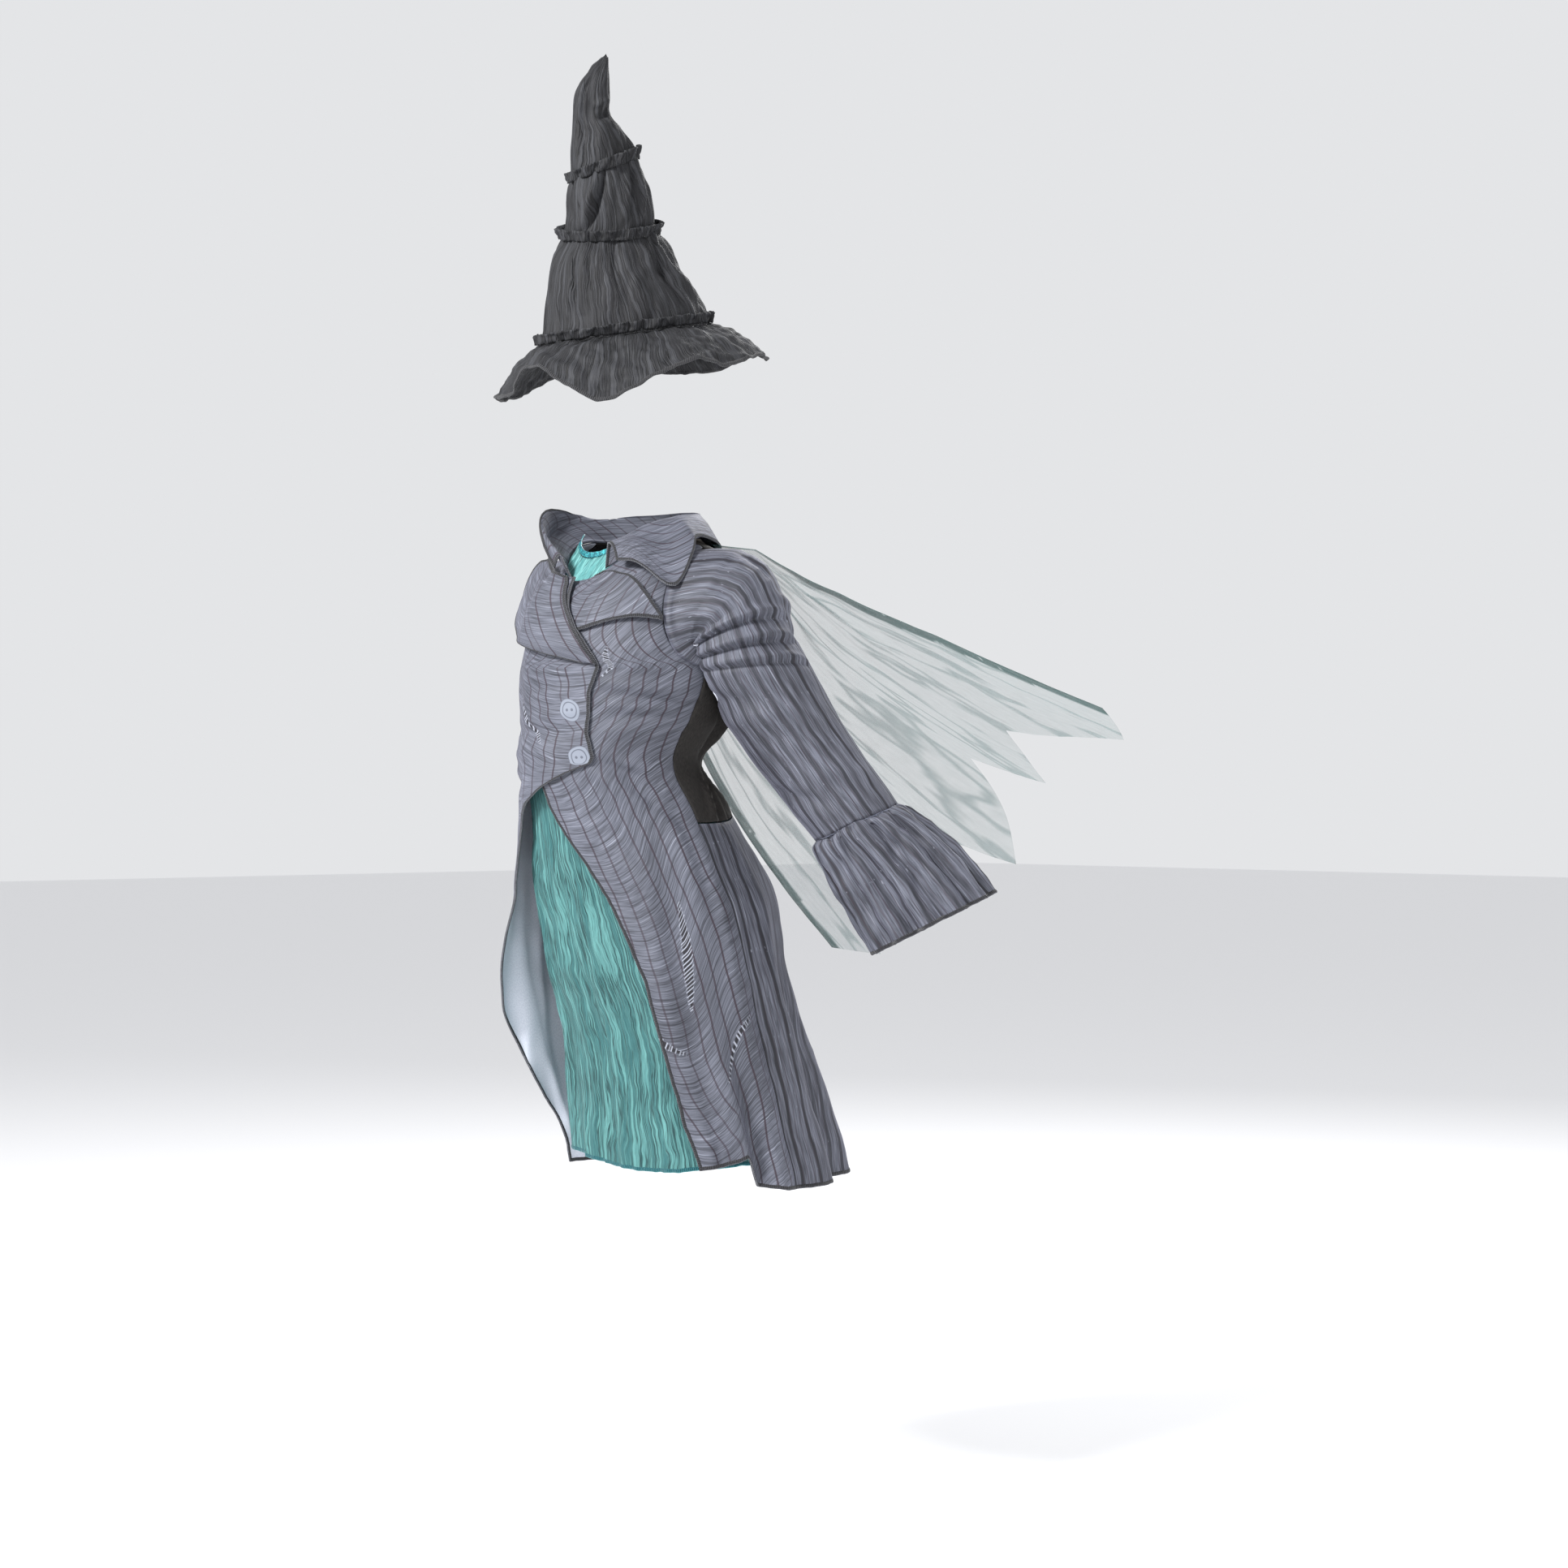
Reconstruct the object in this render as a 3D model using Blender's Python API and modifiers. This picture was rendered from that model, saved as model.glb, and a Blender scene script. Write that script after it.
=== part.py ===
"""Witch costume of cloth: a tattered tailcoat over a crinkled underskirt, a gathered hat and a sheer cape.

Metres, +Z up. The origin is the middle of the neck opening. The wearer faces -Y, with their left at +X.
Angles run round the body in degrees: 0 is the centre front, 90 the wearer's left side, -90 the right.
"""

import math
from collections import namedtuple

import bmesh
import bpy
from mathutils import Vector

# Cloth walls and the gaps between them
CLOTH = 0.0015
SHEER = 0.0011
SEAM_GAP = 0.0004
SEAT = 0.0003
LAYER = 0.0028

# How far the wearer's head is turned to their left
WEARER_TURN = math.radians(48)

# Rings of the coat from the collar stand down. Level runs down the front; side, front and back are heights.
Ring = namedtuple("Ring", "level centre_x middle_y half_width front_y back_y side_z front_z back_z")


def level_ring(level, centre_x, middle_y, half_width, front_y, back_y):
    """A ring that lies flat at its level."""
    return Ring(level, centre_x, middle_y, half_width, front_y, back_y, -level, -level, -level)


COAT = (
    Ring(-0.030, 0.000, -0.005, 0.060, -0.064, 0.046, 0.030, -0.001, 0.036),
    Ring(0.000, 0.000, -0.005, 0.068, -0.082, 0.058, 0.012, -0.034, 0.014),
    Ring(0.022, 0.000, -0.003, 0.085, -0.094, 0.068, 0.005, -0.050, -0.004),
    Ring(0.045, 0.000, 0.000, 0.101, -0.104, 0.074, -0.004, -0.067, -0.024),
    Ring(0.082, 0.000, -0.008, 0.116, -0.114, 0.078, -0.058, -0.091, -0.068),
    level_ring(0.120, 0.000, -0.012, 0.124, -0.121, 0.079),
    level_ring(0.176, 0.000, -0.014, 0.119, -0.126, 0.077),
    level_ring(0.222, 0.000, -0.030, 0.102, -0.132, 0.041),
    level_ring(0.272, 0.000, -0.020, 0.116, -0.127, 0.080),
    level_ring(0.357, 0.000, -0.010, 0.143, -0.120, 0.142),
    level_ring(0.442, 0.005, -0.005, 0.155, -0.120, 0.152),
    level_ring(0.527, 0.012, 0.005, 0.165, -0.108, 0.178),
    level_ring(0.612, 0.025, 0.020, 0.170, -0.085, 0.205),
    level_ring(0.655, 0.030, 0.025, 0.173, -0.080, 0.212),
)

# Front edges of the two fronts and the side seam, in degrees at each level
Edge = namedtuple("Edge", "level right_front left_front side")
EDGES = (
    Edge(0.000, 1, -8, 90),
    Edge(0.045, 9, -9, 90),
    Edge(0.082, 18, -9, 90),
    Edge(0.124, 31, -9, 87),
    Edge(0.150, 27, -9, 84),
    Edge(0.190, 29, -8, 79),
    Edge(0.216, 37, -5, 83),
    Edge(0.222, 36, -4, 84),
    Edge(0.232, 20, -2, 84),
    Edge(0.247, 0, 1, 85),
    Edge(0.265, -18, 4, 86),
    Edge(0.282, -27, 9, 87),
    Edge(0.320, -34, 21, 89),
    Edge(0.357, -40, 30, 92),
    Edge(0.400, -47, 38, 95),
    Edge(0.442, -53, 44, 97),
    Edge(0.480, -60, 45, 98),
    Edge(0.527, -68, 46, 98),
    Edge(0.562, -76, 46, 98),
    Edge(0.600, -84, 45, 97),
    Edge(0.655, -87, 47, 97),
)

# Folds of the coat skirt: angle and half width in degrees, depth at the hem, level where each starts
Fold = namedtuple("Fold", "angle half_width depth start")
COAT_FOLDS = (
    Fold(-150, 15, 0.020, 0.300),
    Fold(-121, 12, 0.015, 0.330),
    Fold(-72, 12, 0.008, 0.330),
    Fold(60, 8, 0.010, 0.480),
    Fold(79, 9, 0.016, 0.430),
    Fold(99, 9, 0.012, 0.290),
    Fold(124, 12, 0.020, 0.300),
    Fold(152, 13, 0.016, 0.330),
    Fold(180, 13, 0.018, 0.300),
)

# Hem of the coat: its level at each angle
Hem = namedtuple("Hem", "angle level")
COAT_HEMS = (
    Hem(-180, 0.642),
    Hem(-130, 0.650),
    Hem(-86, 0.652),
    Hem(44, 0.632),
    Hem(60, 0.628),
    Hem(71, 0.618),
    Hem(77, 0.648),
    Hem(97, 0.654),
    Hem(130, 0.650),
    Hem(180, 0.642),
)

# Rows of every coat panel, closest at the shoulder, the armhole and the front corners
COAT_LEVELS = (0.0, 0.015, 0.030, 0.0455, 0.050, 0.058, 0.070, 0.085, 0.100, 0.112, 0.1215, 0.134, 0.152)
COAT_LEVELS += (0.171, 0.190, 0.206, 0.216, 0.222, 0.227, 0.232, 0.240, 0.248, 0.258, 0.270, 0.282)
COAT_LEVELS += (0.305, 0.340, 0.385, 0.435, 0.485, 0.530, 0.570, 0.605, 0.630, 0.650)
COAT_HEM = 0.650
HEM_STRETCH_FROM = 0.52

# The right front's lap: layers under it, its inner limit in degrees, and the flap lifted below the waist
LAPPED_LAYERS = 1.25
LAPPED_LAPEL_LAYERS = 1.35
LAPEL_END_LEVEL = 0.118
LAPEL_END_EASE = 0.018
LAP_END_ANGLE = -34
LAP_EASE_ANGLE = 20
FLAP_LIFT = 0.016
FLAP_START = 0.36
FLAP_LENGTH = 0.27
FLAP_FADE = 2.2

# Armholes: between these levels, half as wide in degrees as this
SHOULDER_LEVEL = 0.045
UNDERARM_LEVEL = 0.122
ARMHOLE_HALF = 27

# Back: the level of its waist seam, how far that dips in the middle, and how far the dip is felt
BACK_SEAM = 0.282
BACK_SEAM_DIP = 0.012
BODICE_DIP_FROM = 0.15
BODICE_DIP_LENGTH = 0.13
SKIRT_DIP_LENGTH = 0.12
SKIRT_LOWERED = 0.0012
BODICE_LEVELS = tuple(level for level in COAT_LEVELS if level <= BACK_SEAM)
SKIRT_TOP = BACK_SEAM + SEAM_GAP + SKIRT_LOWERED
SKIRT_LEVELS = (SKIRT_TOP, *(level for level in COAT_LEVELS if level > BACK_SEAM))

# Slack in degrees at the side seams, and the steps over which a surface's slope is taken
SIDE_SEAM_SLACK = 0.05
ANGLE_STEP = 0.5
LEVEL_STEP = 0.001

# Underskirt rings
UNDERSKIRT = (
    level_ring(0.236, 0.000, -0.030, 0.092, -0.120, 0.030),
    level_ring(0.262, 0.000, -0.024, 0.098, -0.117, 0.052),
    level_ring(0.300, 0.000, -0.018, 0.107, -0.113, 0.076),
    level_ring(0.357, 0.000, -0.010, 0.122, -0.099, 0.105),
    level_ring(0.434, 0.008, 0.004, 0.132, -0.080, 0.124),
    level_ring(0.510, 0.016, 0.015, 0.138, -0.058, 0.140),
    level_ring(0.588, 0.024, 0.028, 0.142, -0.054, 0.160),
    level_ring(0.640, 0.027, 0.034, 0.145, -0.052, 0.166),
)
UNDERSKIRT_TOP = 0.236
UNDERSKIRT_HEM = 0.634
WAIST_SEAM_DEPTH = 0.0034
WAIST_EASE = 6
UNDERSKIRT_WAVES = 14
UNDERSKIRT_WAVE = 0.003
HEM_WAVES = 3
HEM_WAVE = 0.005
HEM_WAVE_TURN = 40
HEM_WAVE_LENGTH = 0.2

# Collar sections: angle at the neck, the fold of the collar, then its outer edge on the coat
CollarSection = namedtuple("CollarSection", "angle fold_x fold_y fold_z edge_angle edge_level edge_height")
COLLAR = (
    CollarSection(-14, -0.022, -0.086, -0.008, -30, 0.006, 0.014),
    CollarSection(-48, -0.064, -0.074, 0.008, -64, 0.006, 0.052),
    CollarSection(-80, -0.088, -0.034, 0.031, -86, 0.012, 0.036),
    CollarSection(-120, -0.066, 0.028, 0.041, -118, 0.022, 0.010),
    CollarSection(-160, -0.026, 0.060, 0.044, -158, 0.026, 0.008),
    CollarSection(-200, 0.024, 0.058, 0.042, -202, 0.026, 0.008),
    CollarSection(-240, 0.054, 0.026, 0.037, -242, 0.030, 0.008),
    CollarSection(-274, 0.062, -0.006, 0.033, -272, 0.034, 0.009),
    CollarSection(-304, 0.056, -0.042, 0.021, -293, 0.070, 0.014),
    CollarSection(-332, 0.036, -0.074, 0.004, -318, 0.018, 0.013),
)

COLLAR_SEAM_RISE = 0.0018
COLLAR_SEAM_HEIGHT = 0.0008
COLLAR_FOLD_SHARE = 0.4
COLLAR_ROLL = 0.006

# Lapels: the fold, then the outer edge, how high it stands off, and how far the middle is drawn up
LapelSection = namedtuple("LapelSection", "fold_angle fold_level edge_angle edge_level stand drawn_up")
LAPEL_RIGHT = (
    LapelSection(-7, 0.001, -48, 0.016, 0.012, 0.000),
    LapelSection(-1, 0.012, -53, 0.032, 0.013, 0.000),
    LapelSection(4, 0.030, -56, 0.055, 0.014, 0.000),
    LapelSection(10, 0.050, -59, 0.074, 0.015, 0.000),
    LapelSection(15, 0.072, -45, 0.086, 0.012, 0.000),
    LapelSection(20, 0.092, -22, 0.098, 0.008, 0.000),
    LapelSection(25, 0.108, -2, 0.109, 0.004, 0.000),
    LapelSection(30, 0.122, 22, 0.121, 0.001, 0.000),
)
LAPEL_LEFT = (
    LapelSection(22, 0.002, 29, 0.004, 0.000, 0.000),
    LapelSection(15, 0.003, 37, 0.016, 0.000, 0.000),
    LapelSection(5, 0.007, 45, 0.038, 0.000, 0.000),
    LapelSection(-4, 0.020, 53, 0.063, 0.002, 0.000),
    LapelSection(-6, 0.052, 59, 0.080, 0.004, 0.000),
    LapelSection(-6, 0.074, 62, 0.088, 0.004, 0.004),
    LapelSection(-4, 0.093, 62, 0.091, 0.004, 0.012),
)

LAPEL_ROLL = 0.0025
LAPEL_ROLL_FADE = 1.5
LAPEL_SEAT = 0.0023

# Neck inset and its trim: where they start and how far they run in degrees, their tops, lengths and depth
INSET_START_ANGLE = -58
INSET_SWEEP = 110
INSET_TOP = -0.0230
INSET_LENGTH = 0.0300
TRIM_TOP = -0.0288
TRIM_LENGTH = 0.0050
INSET_DEPTH = 0.0021

# Sleeve sections along the arm: out from the shoulder, height, half sizes, tilt of the outer side in degrees
SleeveSection = namedtuple("SleeveSection", "out z half_width half_depth raised")
ARM_START_X = 0.112
ARM_START_Y = 0.006
ARM_HEADING = {"left": 42, "right": 52}
COAT_CLEARANCE = 0.007
DEEPEST_SHARE = 0.2
SLEEVE = (
    SleeveSection(0.012, -0.056, 0.064, 0.056, 56),
    SleeveSection(0.018, -0.073, 0.060, 0.057, 40),
    SleeveSection(0.027, -0.100, 0.056, 0.056, 28),
    SleeveSection(0.041, -0.130, 0.053, 0.054, 25),
    SleeveSection(0.060, -0.161, 0.051, 0.051, 27),
    SleeveSection(0.085, -0.198, 0.048, 0.048, 29),
    SleeveSection(0.110, -0.235, 0.047, 0.046, 29),
    SleeveSection(0.146, -0.283, 0.046, 0.045, 24),
)
CUFF = (
    SleeveSection(0.1464, -0.2838, 0.0462, 0.0452, 24),
    SleeveSection(0.1530, -0.2910, 0.0540, 0.0520, 24),
    SleeveSection(0.1800, -0.3230, 0.0590, 0.0570, 26),
    SleeveSection(0.2070, -0.3600, 0.0635, 0.0610, 27),
    SleeveSection(0.2250, -0.3850, 0.0660, 0.0640, 27),
)
CUFF_WAVES = 12
CUFF_WAVE = 0.0060
CUFF_WAVE_EASE = 1.6

# Hat rings in the turned head's own directions: across, towards the face, height, radius, tilts in degrees
HatRing = namedtuple("HatRing", "z across ahead radius side_tilt front_tilt")
HAT = (
    HatRing(0.2240, -0.0170, 0.0150, 0.0880, 8, 7),
    HatRing(0.2390, -0.0165, 0.0165, 0.0835, 7, 8),
    HatRing(0.2680, -0.0207, 0.0208, 0.0749, 4, 9),
    HatRing(0.2940, -0.0278, 0.0248, 0.0650, 3, 11),
    HatRing(0.3110, -0.0300, 0.0276, 0.0580, 3, 12),
    HatRing(0.3310, -0.0308, 0.0312, 0.0465, 3, 16),
    HatRing(0.3480, -0.0306, 0.0336, 0.0447, 5, 14),
    HatRing(0.3690, -0.0335, 0.0368, 0.0428, 9, 12),
    HatRing(0.3840, -0.0357, 0.0393, 0.0378, 15, 11),
    HatRing(0.3960, -0.0377, 0.0415, 0.0322, 21, 11),
    HatRing(0.4184, -0.0413, 0.0440, 0.0281, 14, 8),
    HatRing(0.4351, -0.0443, 0.0467, 0.0232, 9, 8),
    HatRing(0.4509, -0.0475, 0.0492, 0.0178, 5, 8),
    HatRing(0.4647, -0.0462, 0.0514, 0.0170, 0, 8),
    HatRing(0.4745, -0.0450, 0.0529, 0.0155, 0, 8),
    HatRing(0.4903, -0.0405, 0.0554, 0.0107, 2, 8),
    HatRing(0.5060, -0.0345, 0.0581, 0.0045, 4, 8),
    HatRing(0.5085, -0.0335, 0.0584, 0.0000, 4, 8),
)
BRIM_SEAM_Z = 0.2240
CROWN_TOP_Z = 0.3295
BAND_TOP_Z = 0.3950
HAT_TOP_Z = 0.5085
FRILL_WAVE = 0.0017
FRILL_FLARE = 0.0060

# Frills: the height of each one's stitching, its waves, and how far it stands above and below the stitches
Frill = namedtuple("Frill", "z waves up down")
BRIM_FRILL = Frill(BRIM_SEAM_Z + 0.005, 32, 0.008, 0.002)
MIDDLE_FRILL = Frill(CROWN_TOP_Z, 20, 0.0085, 0.0030)
TOP_FRILL = Frill(BAND_TOP_Z, 14, 0.0085, 0.0030)

# Brim by its angle round the turned head: reach from the seam, drop below it, 0 at the face, 90 at its left
BrimSection = namedtuple("BrimSection", "angle reach drop")
BRIM = (
    BrimSection(-180, 0.050, 0.040),
    BrimSection(-158, 0.051, 0.022),
    BrimSection(-130, 0.048, 0.044),
    BrimSection(-108, 0.046, 0.050),
    BrimSection(-84, 0.044, 0.046),
    BrimSection(-62, 0.042, 0.046),
    BrimSection(-44, 0.044, 0.018),
    BrimSection(-22, 0.046, 0.044),
    BrimSection(-6, 0.045, 0.064),
    BrimSection(16, 0.049, 0.046),
    BrimSection(34, 0.052, 0.036),
    BrimSection(50, 0.056, 0.046),
    BrimSection(72, 0.060, 0.040),
    BrimSection(92, 0.061, 0.046),
    BrimSection(112, 0.058, 0.036),
    BrimSection(140, 0.054, 0.050),
    BrimSection(180, 0.050, 0.040),
)
BRIM_SEAM_OUT = 0.0006
BRIM_STRAIGHT_SHARE = 0.35
BRIM_CURVED_SHARE = 0.65

# Cape: its lifted left edge and its hanging right edge, from the neck to the tatters
CapeStation = namedtuple("CapeStation", "along left_x left_y left_z right_x right_y right_z")
CAPE = (
    CapeStation(0.00, 0.086, 0.080, 0.002, -0.070, 0.090, -0.004),
    CapeStation(0.12, 0.116, 0.118, -0.022, -0.075, 0.108, -0.070),
    CapeStation(0.30, 0.143, 0.190, -0.056, -0.062, 0.114, -0.170),
    CapeStation(0.55, 0.180, 0.272, -0.091, -0.036, 0.156, -0.270),
    CapeStation(0.80, 0.222, 0.365, -0.132, -0.008, 0.204, -0.350),
    CapeStation(1.00, 0.262, 0.446, -0.166, 0.018, 0.250, -0.415),
)
Tatter = namedtuple("Tatter", "across reach")
TATTERS = (
    Tatter(0.00, 0.97),
    Tatter(0.08, 1.05),
    Tatter(0.15, 0.94),
    Tatter(0.20, 0.84),
    Tatter(0.29, 1.02),
    Tatter(0.36, 0.82),
    Tatter(0.53, 1.13),
    Tatter(0.61, 0.90),
    Tatter(0.71, 1.12),
    Tatter(0.80, 0.92),
    Tatter(0.91, 1.12),
    Tatter(1.00, 1.02),
)
CAPE_SEAM_LEVEL = 0.026
CAPE_SEAM_HEIGHT = 0.0030
CAPE_SEAM_LEFT = 116
CAPE_SEAM_RIGHT = 240
CAPE_SAG = 0.030
CAPE_WAVES = 3
CAPE_WAVE = 0.012

# Columns and rows of each piece's grid
GRIDS = {
    "coat_front_right": (9, len(COAT_LEVELS) - 1),
    "coat_front_left": (10, len(COAT_LEVELS) - 1),
    "back_bodice": (10, len(BODICE_LEVELS) - 1),
    "back_skirt": (24, len(SKIRT_LEVELS) - 1),
    "underskirt": (42, 6),
    "collar": (18, 5),
    "lapel_right": (6, 14),
    "lapel_left": (6, 12),
    "neck_inset": (10, 4),
    "inset_trim": (10, 1),
    "sleeve_left": (16, 16),
    "sleeve_right": (16, 16),
    "cuff_left": (36, 4),
    "cuff_right": (36, 4),
    "hat_crown": (20, 5),
    "hat_upper_band": (14, 4),
    "hat_tip": (12, 9),
    "hat_frill_brim": (96, 1),
    "hat_frill_middle": (60, 1),
    "hat_frill_top": (42, 1),
    "hat_brim": (40, 4),
    "cape": (22, 10),
}


def between(table, key):
    """The row at a key, on a smooth curve through the rows of the table."""
    key = min(max(key, table[0][0]), table[-1][0])
    index = max(i for i in range(len(table) - 1) if table[i][0] <= key)
    low, high = table[index], table[index + 1]
    before = table[max(index - 1, 0)]
    after = table[min(index + 2, len(table) - 1)]
    span = high[0] - low[0]
    part = (key - low[0]) / span
    rise_low = span / (high[0] - before[0])
    rise_high = span / (after[0] - low[0])
    values = []
    for a, b, c, d in zip(before[1:], low[1:], high[1:], after[1:]):
        slope_low = (c - a) * rise_low
        slope_high = (d - b) * rise_high
        curve = (2 * b - 2 * c + slope_low + slope_high) * part**3
        curve += (3 * c - 3 * b - 2 * slope_low - slope_high) * part**2
        values.append(curve + slope_low * part + b)
    return type(low)(key, *values)


def straight(table, key):
    """The row at a key, on straight lines between the rows, for outlines with corners."""
    key = min(max(key, table[0][0]), table[-1][0])
    index = max(i for i in range(len(table) - 1) if table[i][0] <= key)
    low, high = table[index], table[index + 1]
    part = (key - low[0]) / (high[0] - low[0])
    return type(low)(key, *(a + (b - a) * part for a, b in zip(low[1:], high[1:])))


def ease(value):
    value = min(max(value, 0.0), 1.0)
    return value * value * (3 - 2 * value)


def ring_point(table, angle, level):
    """The point at an angle on the ring at a level."""
    ring = between(table, level)
    turn = math.radians(angle)
    front = math.cos(turn) > 0
    depth = ring.middle_y - ring.front_y if front else ring.back_y - ring.middle_y
    end_z = ring.front_z if front else ring.back_z
    return Vector((
        ring.centre_x + ring.half_width * math.sin(turn),
        ring.middle_y - depth * math.cos(turn),
        ring.side_z + (end_z - ring.side_z) * math.cos(turn) ** 2,
    ))


def fold_depth(angle, level):
    """How far the coat skirt's folds push it inwards."""
    pushed = 0.0
    for fold in COAT_FOLDS:
        away = abs((angle - fold.angle + 180) % 360 - 180) / fold.half_width
        grown = ease((level - fold.start) / (COAT_HEM - fold.start))
        pushed += fold.depth * grown * ease(1 - away)
    return pushed


def coat(angle, level):
    """The coat's own surface."""
    point = ring_point(COAT, angle, level)
    inwards = Vector((between(COAT, level).centre_x, 0, point.z)) - point
    return point + inwards.normalized() * fold_depth(angle, level)


def raised(surface, angle, level, height):
    """A surface's point, moved outwards."""
    around = surface(angle + ANGLE_STEP, level) - surface(angle - ANGLE_STEP, level)
    down = surface(angle, level + LEVEL_STEP) - surface(angle, level - LEVEL_STEP)
    return surface(angle, level) + down.cross(around).normalized() * height


def seam_angle(level):
    """The angle that half the seam gap takes at the coat's side."""
    return math.degrees(SEAM_GAP / 2 / between(COAT, level).half_width) + SIDE_SEAM_SLACK


def armhole(level):
    """Half the armhole's width in degrees at a level."""
    part = (level - SHOULDER_LEVEL) / (UNDERARM_LEVEL - SHOULDER_LEVEL)
    if not 0 < part < 1:
        return 0.0
    return ARMHOLE_HALF * math.sqrt(1 - (2 * part - 1) ** 2)


def cloth_material(name, colour, roughness):
    """A plain cloth material."""
    material = bpy.data.materials.new(name)
    material.use_nodes = True
    shader = material.node_tree.nodes["Principled BSDF"]
    shader.inputs["Base Color"].default_value = (*colour, 1)
    shader.inputs["Roughness"].default_value = roughness
    shader.inputs["Metallic"].default_value = 0.0
    return material


def cloth_sheet(name, place, material, wall=CLOTH):
    """A wall of cloth: a grid laid by place(across, along), each from 0 to 1, and thickened."""
    columns, rows = GRIDS[name]
    grid = bmesh.new()
    bmesh.ops.create_grid(grid, x_segments=columns, y_segments=rows, size=0.5)
    for vert in grid.verts:
        vert.co = place(vert.co.x + 0.5, vert.co.y + 0.5)
    bmesh.ops.remove_doubles(grid, verts=grid.verts, dist=1e-5)
    mesh = bpy.data.meshes.new(name)
    grid.to_mesh(mesh)
    grid.free()
    mesh.materials.append(material)
    mesh.shade_smooth()
    piece = bpy.data.objects.new(name, mesh)
    costume.objects.link(piece)
    wall_modifier = piece.modifiers.new("Wall", "SOLIDIFY")
    wall_modifier.thickness = wall
    wall_modifier.offset = 0
    return piece


def step_along(values, along):
    """The value at a share of the way through an even run of them."""
    place = along * (len(values) - 1)
    index = min(int(place), len(values) - 2)
    return values[index] + (values[index + 1] - values[index]) * (place - index)


def to_hem(angle, level):
    """The level, stretched or drawn up so that the last row lies on the hem."""
    turned = (angle + 180) % 360 - 180
    share = ease((level - HEM_STRETCH_FROM) / (COAT_HEM - HEM_STRETCH_FROM))
    return level + (straight(COAT_HEMS, turned).level - COAT_HEM) * share


def lapped_height(angle, level):
    """How far the wearer's right front lies outside the left one and, higher up, outside its lapel."""
    layers = LAPPED_LAYERS + LAPPED_LAPEL_LAYERS * ease((LAPEL_END_LEVEL - level) / LAPEL_END_EASE)
    return LAYER * layers * ease((angle - LAP_END_ANGLE) / LAP_EASE_ANGLE)


def coat_fronts(material):
    """The two fronts, the wearer's right one lapped over the left at the closure."""
    def front(side):
        def place(across, along):
            level = step_along(COAT_LEVELS, along)
            edge = straight(EDGES, level)
            outer = side * (edge.side - armhole(level) - seam_angle(level))
            inner = edge.left_front if side > 0 else edge.right_front
            angle = inner + (outer - inner) * across
            height = 0.0
            if side < 0:
                flap = math.sin(math.pi * min(max((level - FLAP_START) / FLAP_LENGTH, 0), 1))
                height = lapped_height(angle, level) + FLAP_LIFT * flap * ease(1 - across * FLAP_FADE)
            return raised(coat, angle, to_hem(angle, level), height)
        return place

    cloth_sheet("coat_front_right", front(-1), material)
    cloth_sheet("coat_front_left", front(1), material)


def back_pieces(stretch, printed):
    """The black stretch bodice back and the flared skirt back under it."""
    def seam_drop(angle):
        return BACK_SEAM_DIP * math.cos(math.radians(angle)) ** 2

    def back_angle(across, level):
        outer = straight(EDGES, level).side + armhole(level) + seam_angle(level)
        return outer + (360 - 2 * outer) * across

    def bodice(across, along):
        level = step_along(BODICE_LEVELS, along)
        angle = back_angle(across, level)
        drawn = seam_drop(angle) * ease((level - BODICE_DIP_FROM) / BODICE_DIP_LENGTH)
        return coat(angle, level - drawn)

    def skirt(across, along):
        level = step_along(SKIRT_LEVELS, along)
        angle = back_angle(across, level)
        drawn = seam_drop(angle) * ease(1 - (level - BACK_SEAM) / SKIRT_DIP_LENGTH)
        return coat(angle, to_hem(angle, level) - drawn)

    cloth_sheet("back_bodice", bodice, stretch)
    cloth_sheet("back_skirt", skirt, printed)


def underskirt(material):
    """The crinkled underskirt, a tube from under the coat's waist to a waved hem."""
    def place(across, along):
        angle = 360 * across
        level = UNDERSKIRT_TOP + (UNDERSKIRT_HEM - UNDERSKIRT_TOP) * along
        wave = math.sin(math.radians(UNDERSKIRT_WAVES * angle)) * UNDERSKIRT_WAVE * along
        near_hem = ease((along - 1 + HEM_WAVE_LENGTH) / HEM_WAVE_LENGTH)
        hem = HEM_WAVE * math.sin(math.radians(HEM_WAVES * angle + HEM_WAVE_TURN)) * near_hem
        waist_seam = raised(coat, angle, UNDERSKIRT_TOP, -WAIST_SEAM_DEPTH)
        point = waist_seam.lerp(ring_point(UNDERSKIRT, angle, level + hem), ease(along * WAIST_EASE))
        outwards = Vector((point.x, point.y, 0)).normalized()
        return point + outwards * wave

    cloth_sheet("underskirt", place, material)


def numbered(table):
    """The table with each row's place in it as its key."""
    row_type = namedtuple("Numbered", ("station", *table[0]._fields))
    return tuple(row_type(index, *row) for index, row in enumerate(table))


def collar(material):
    """The turned-down collar: up from the neck seam to its fold, over, and out to its points."""
    sections = numbered(COLLAR)

    def place(across, along):
        section = between(sections, across * (len(sections) - 1))
        seam = raised(coat, section.angle, -COLLAR_SEAM_RISE, COLLAR_SEAM_HEIGHT)
        fold = Vector((section.fold_x, section.fold_y, section.fold_z))
        edge = raised(coat, section.edge_angle, section.edge_level, section.edge_height)
        if along < COLLAR_FOLD_SHARE:
            return seam.lerp(fold, along / COLLAR_FOLD_SHARE)
        fall = (along - COLLAR_FOLD_SHARE) / (1 - COLLAR_FOLD_SHARE)
        return fold.lerp(edge, fall) + Vector((0, 0, COLLAR_ROLL * math.sin(math.pi * fall)))

    cloth_sheet("collar", place, material)


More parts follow.
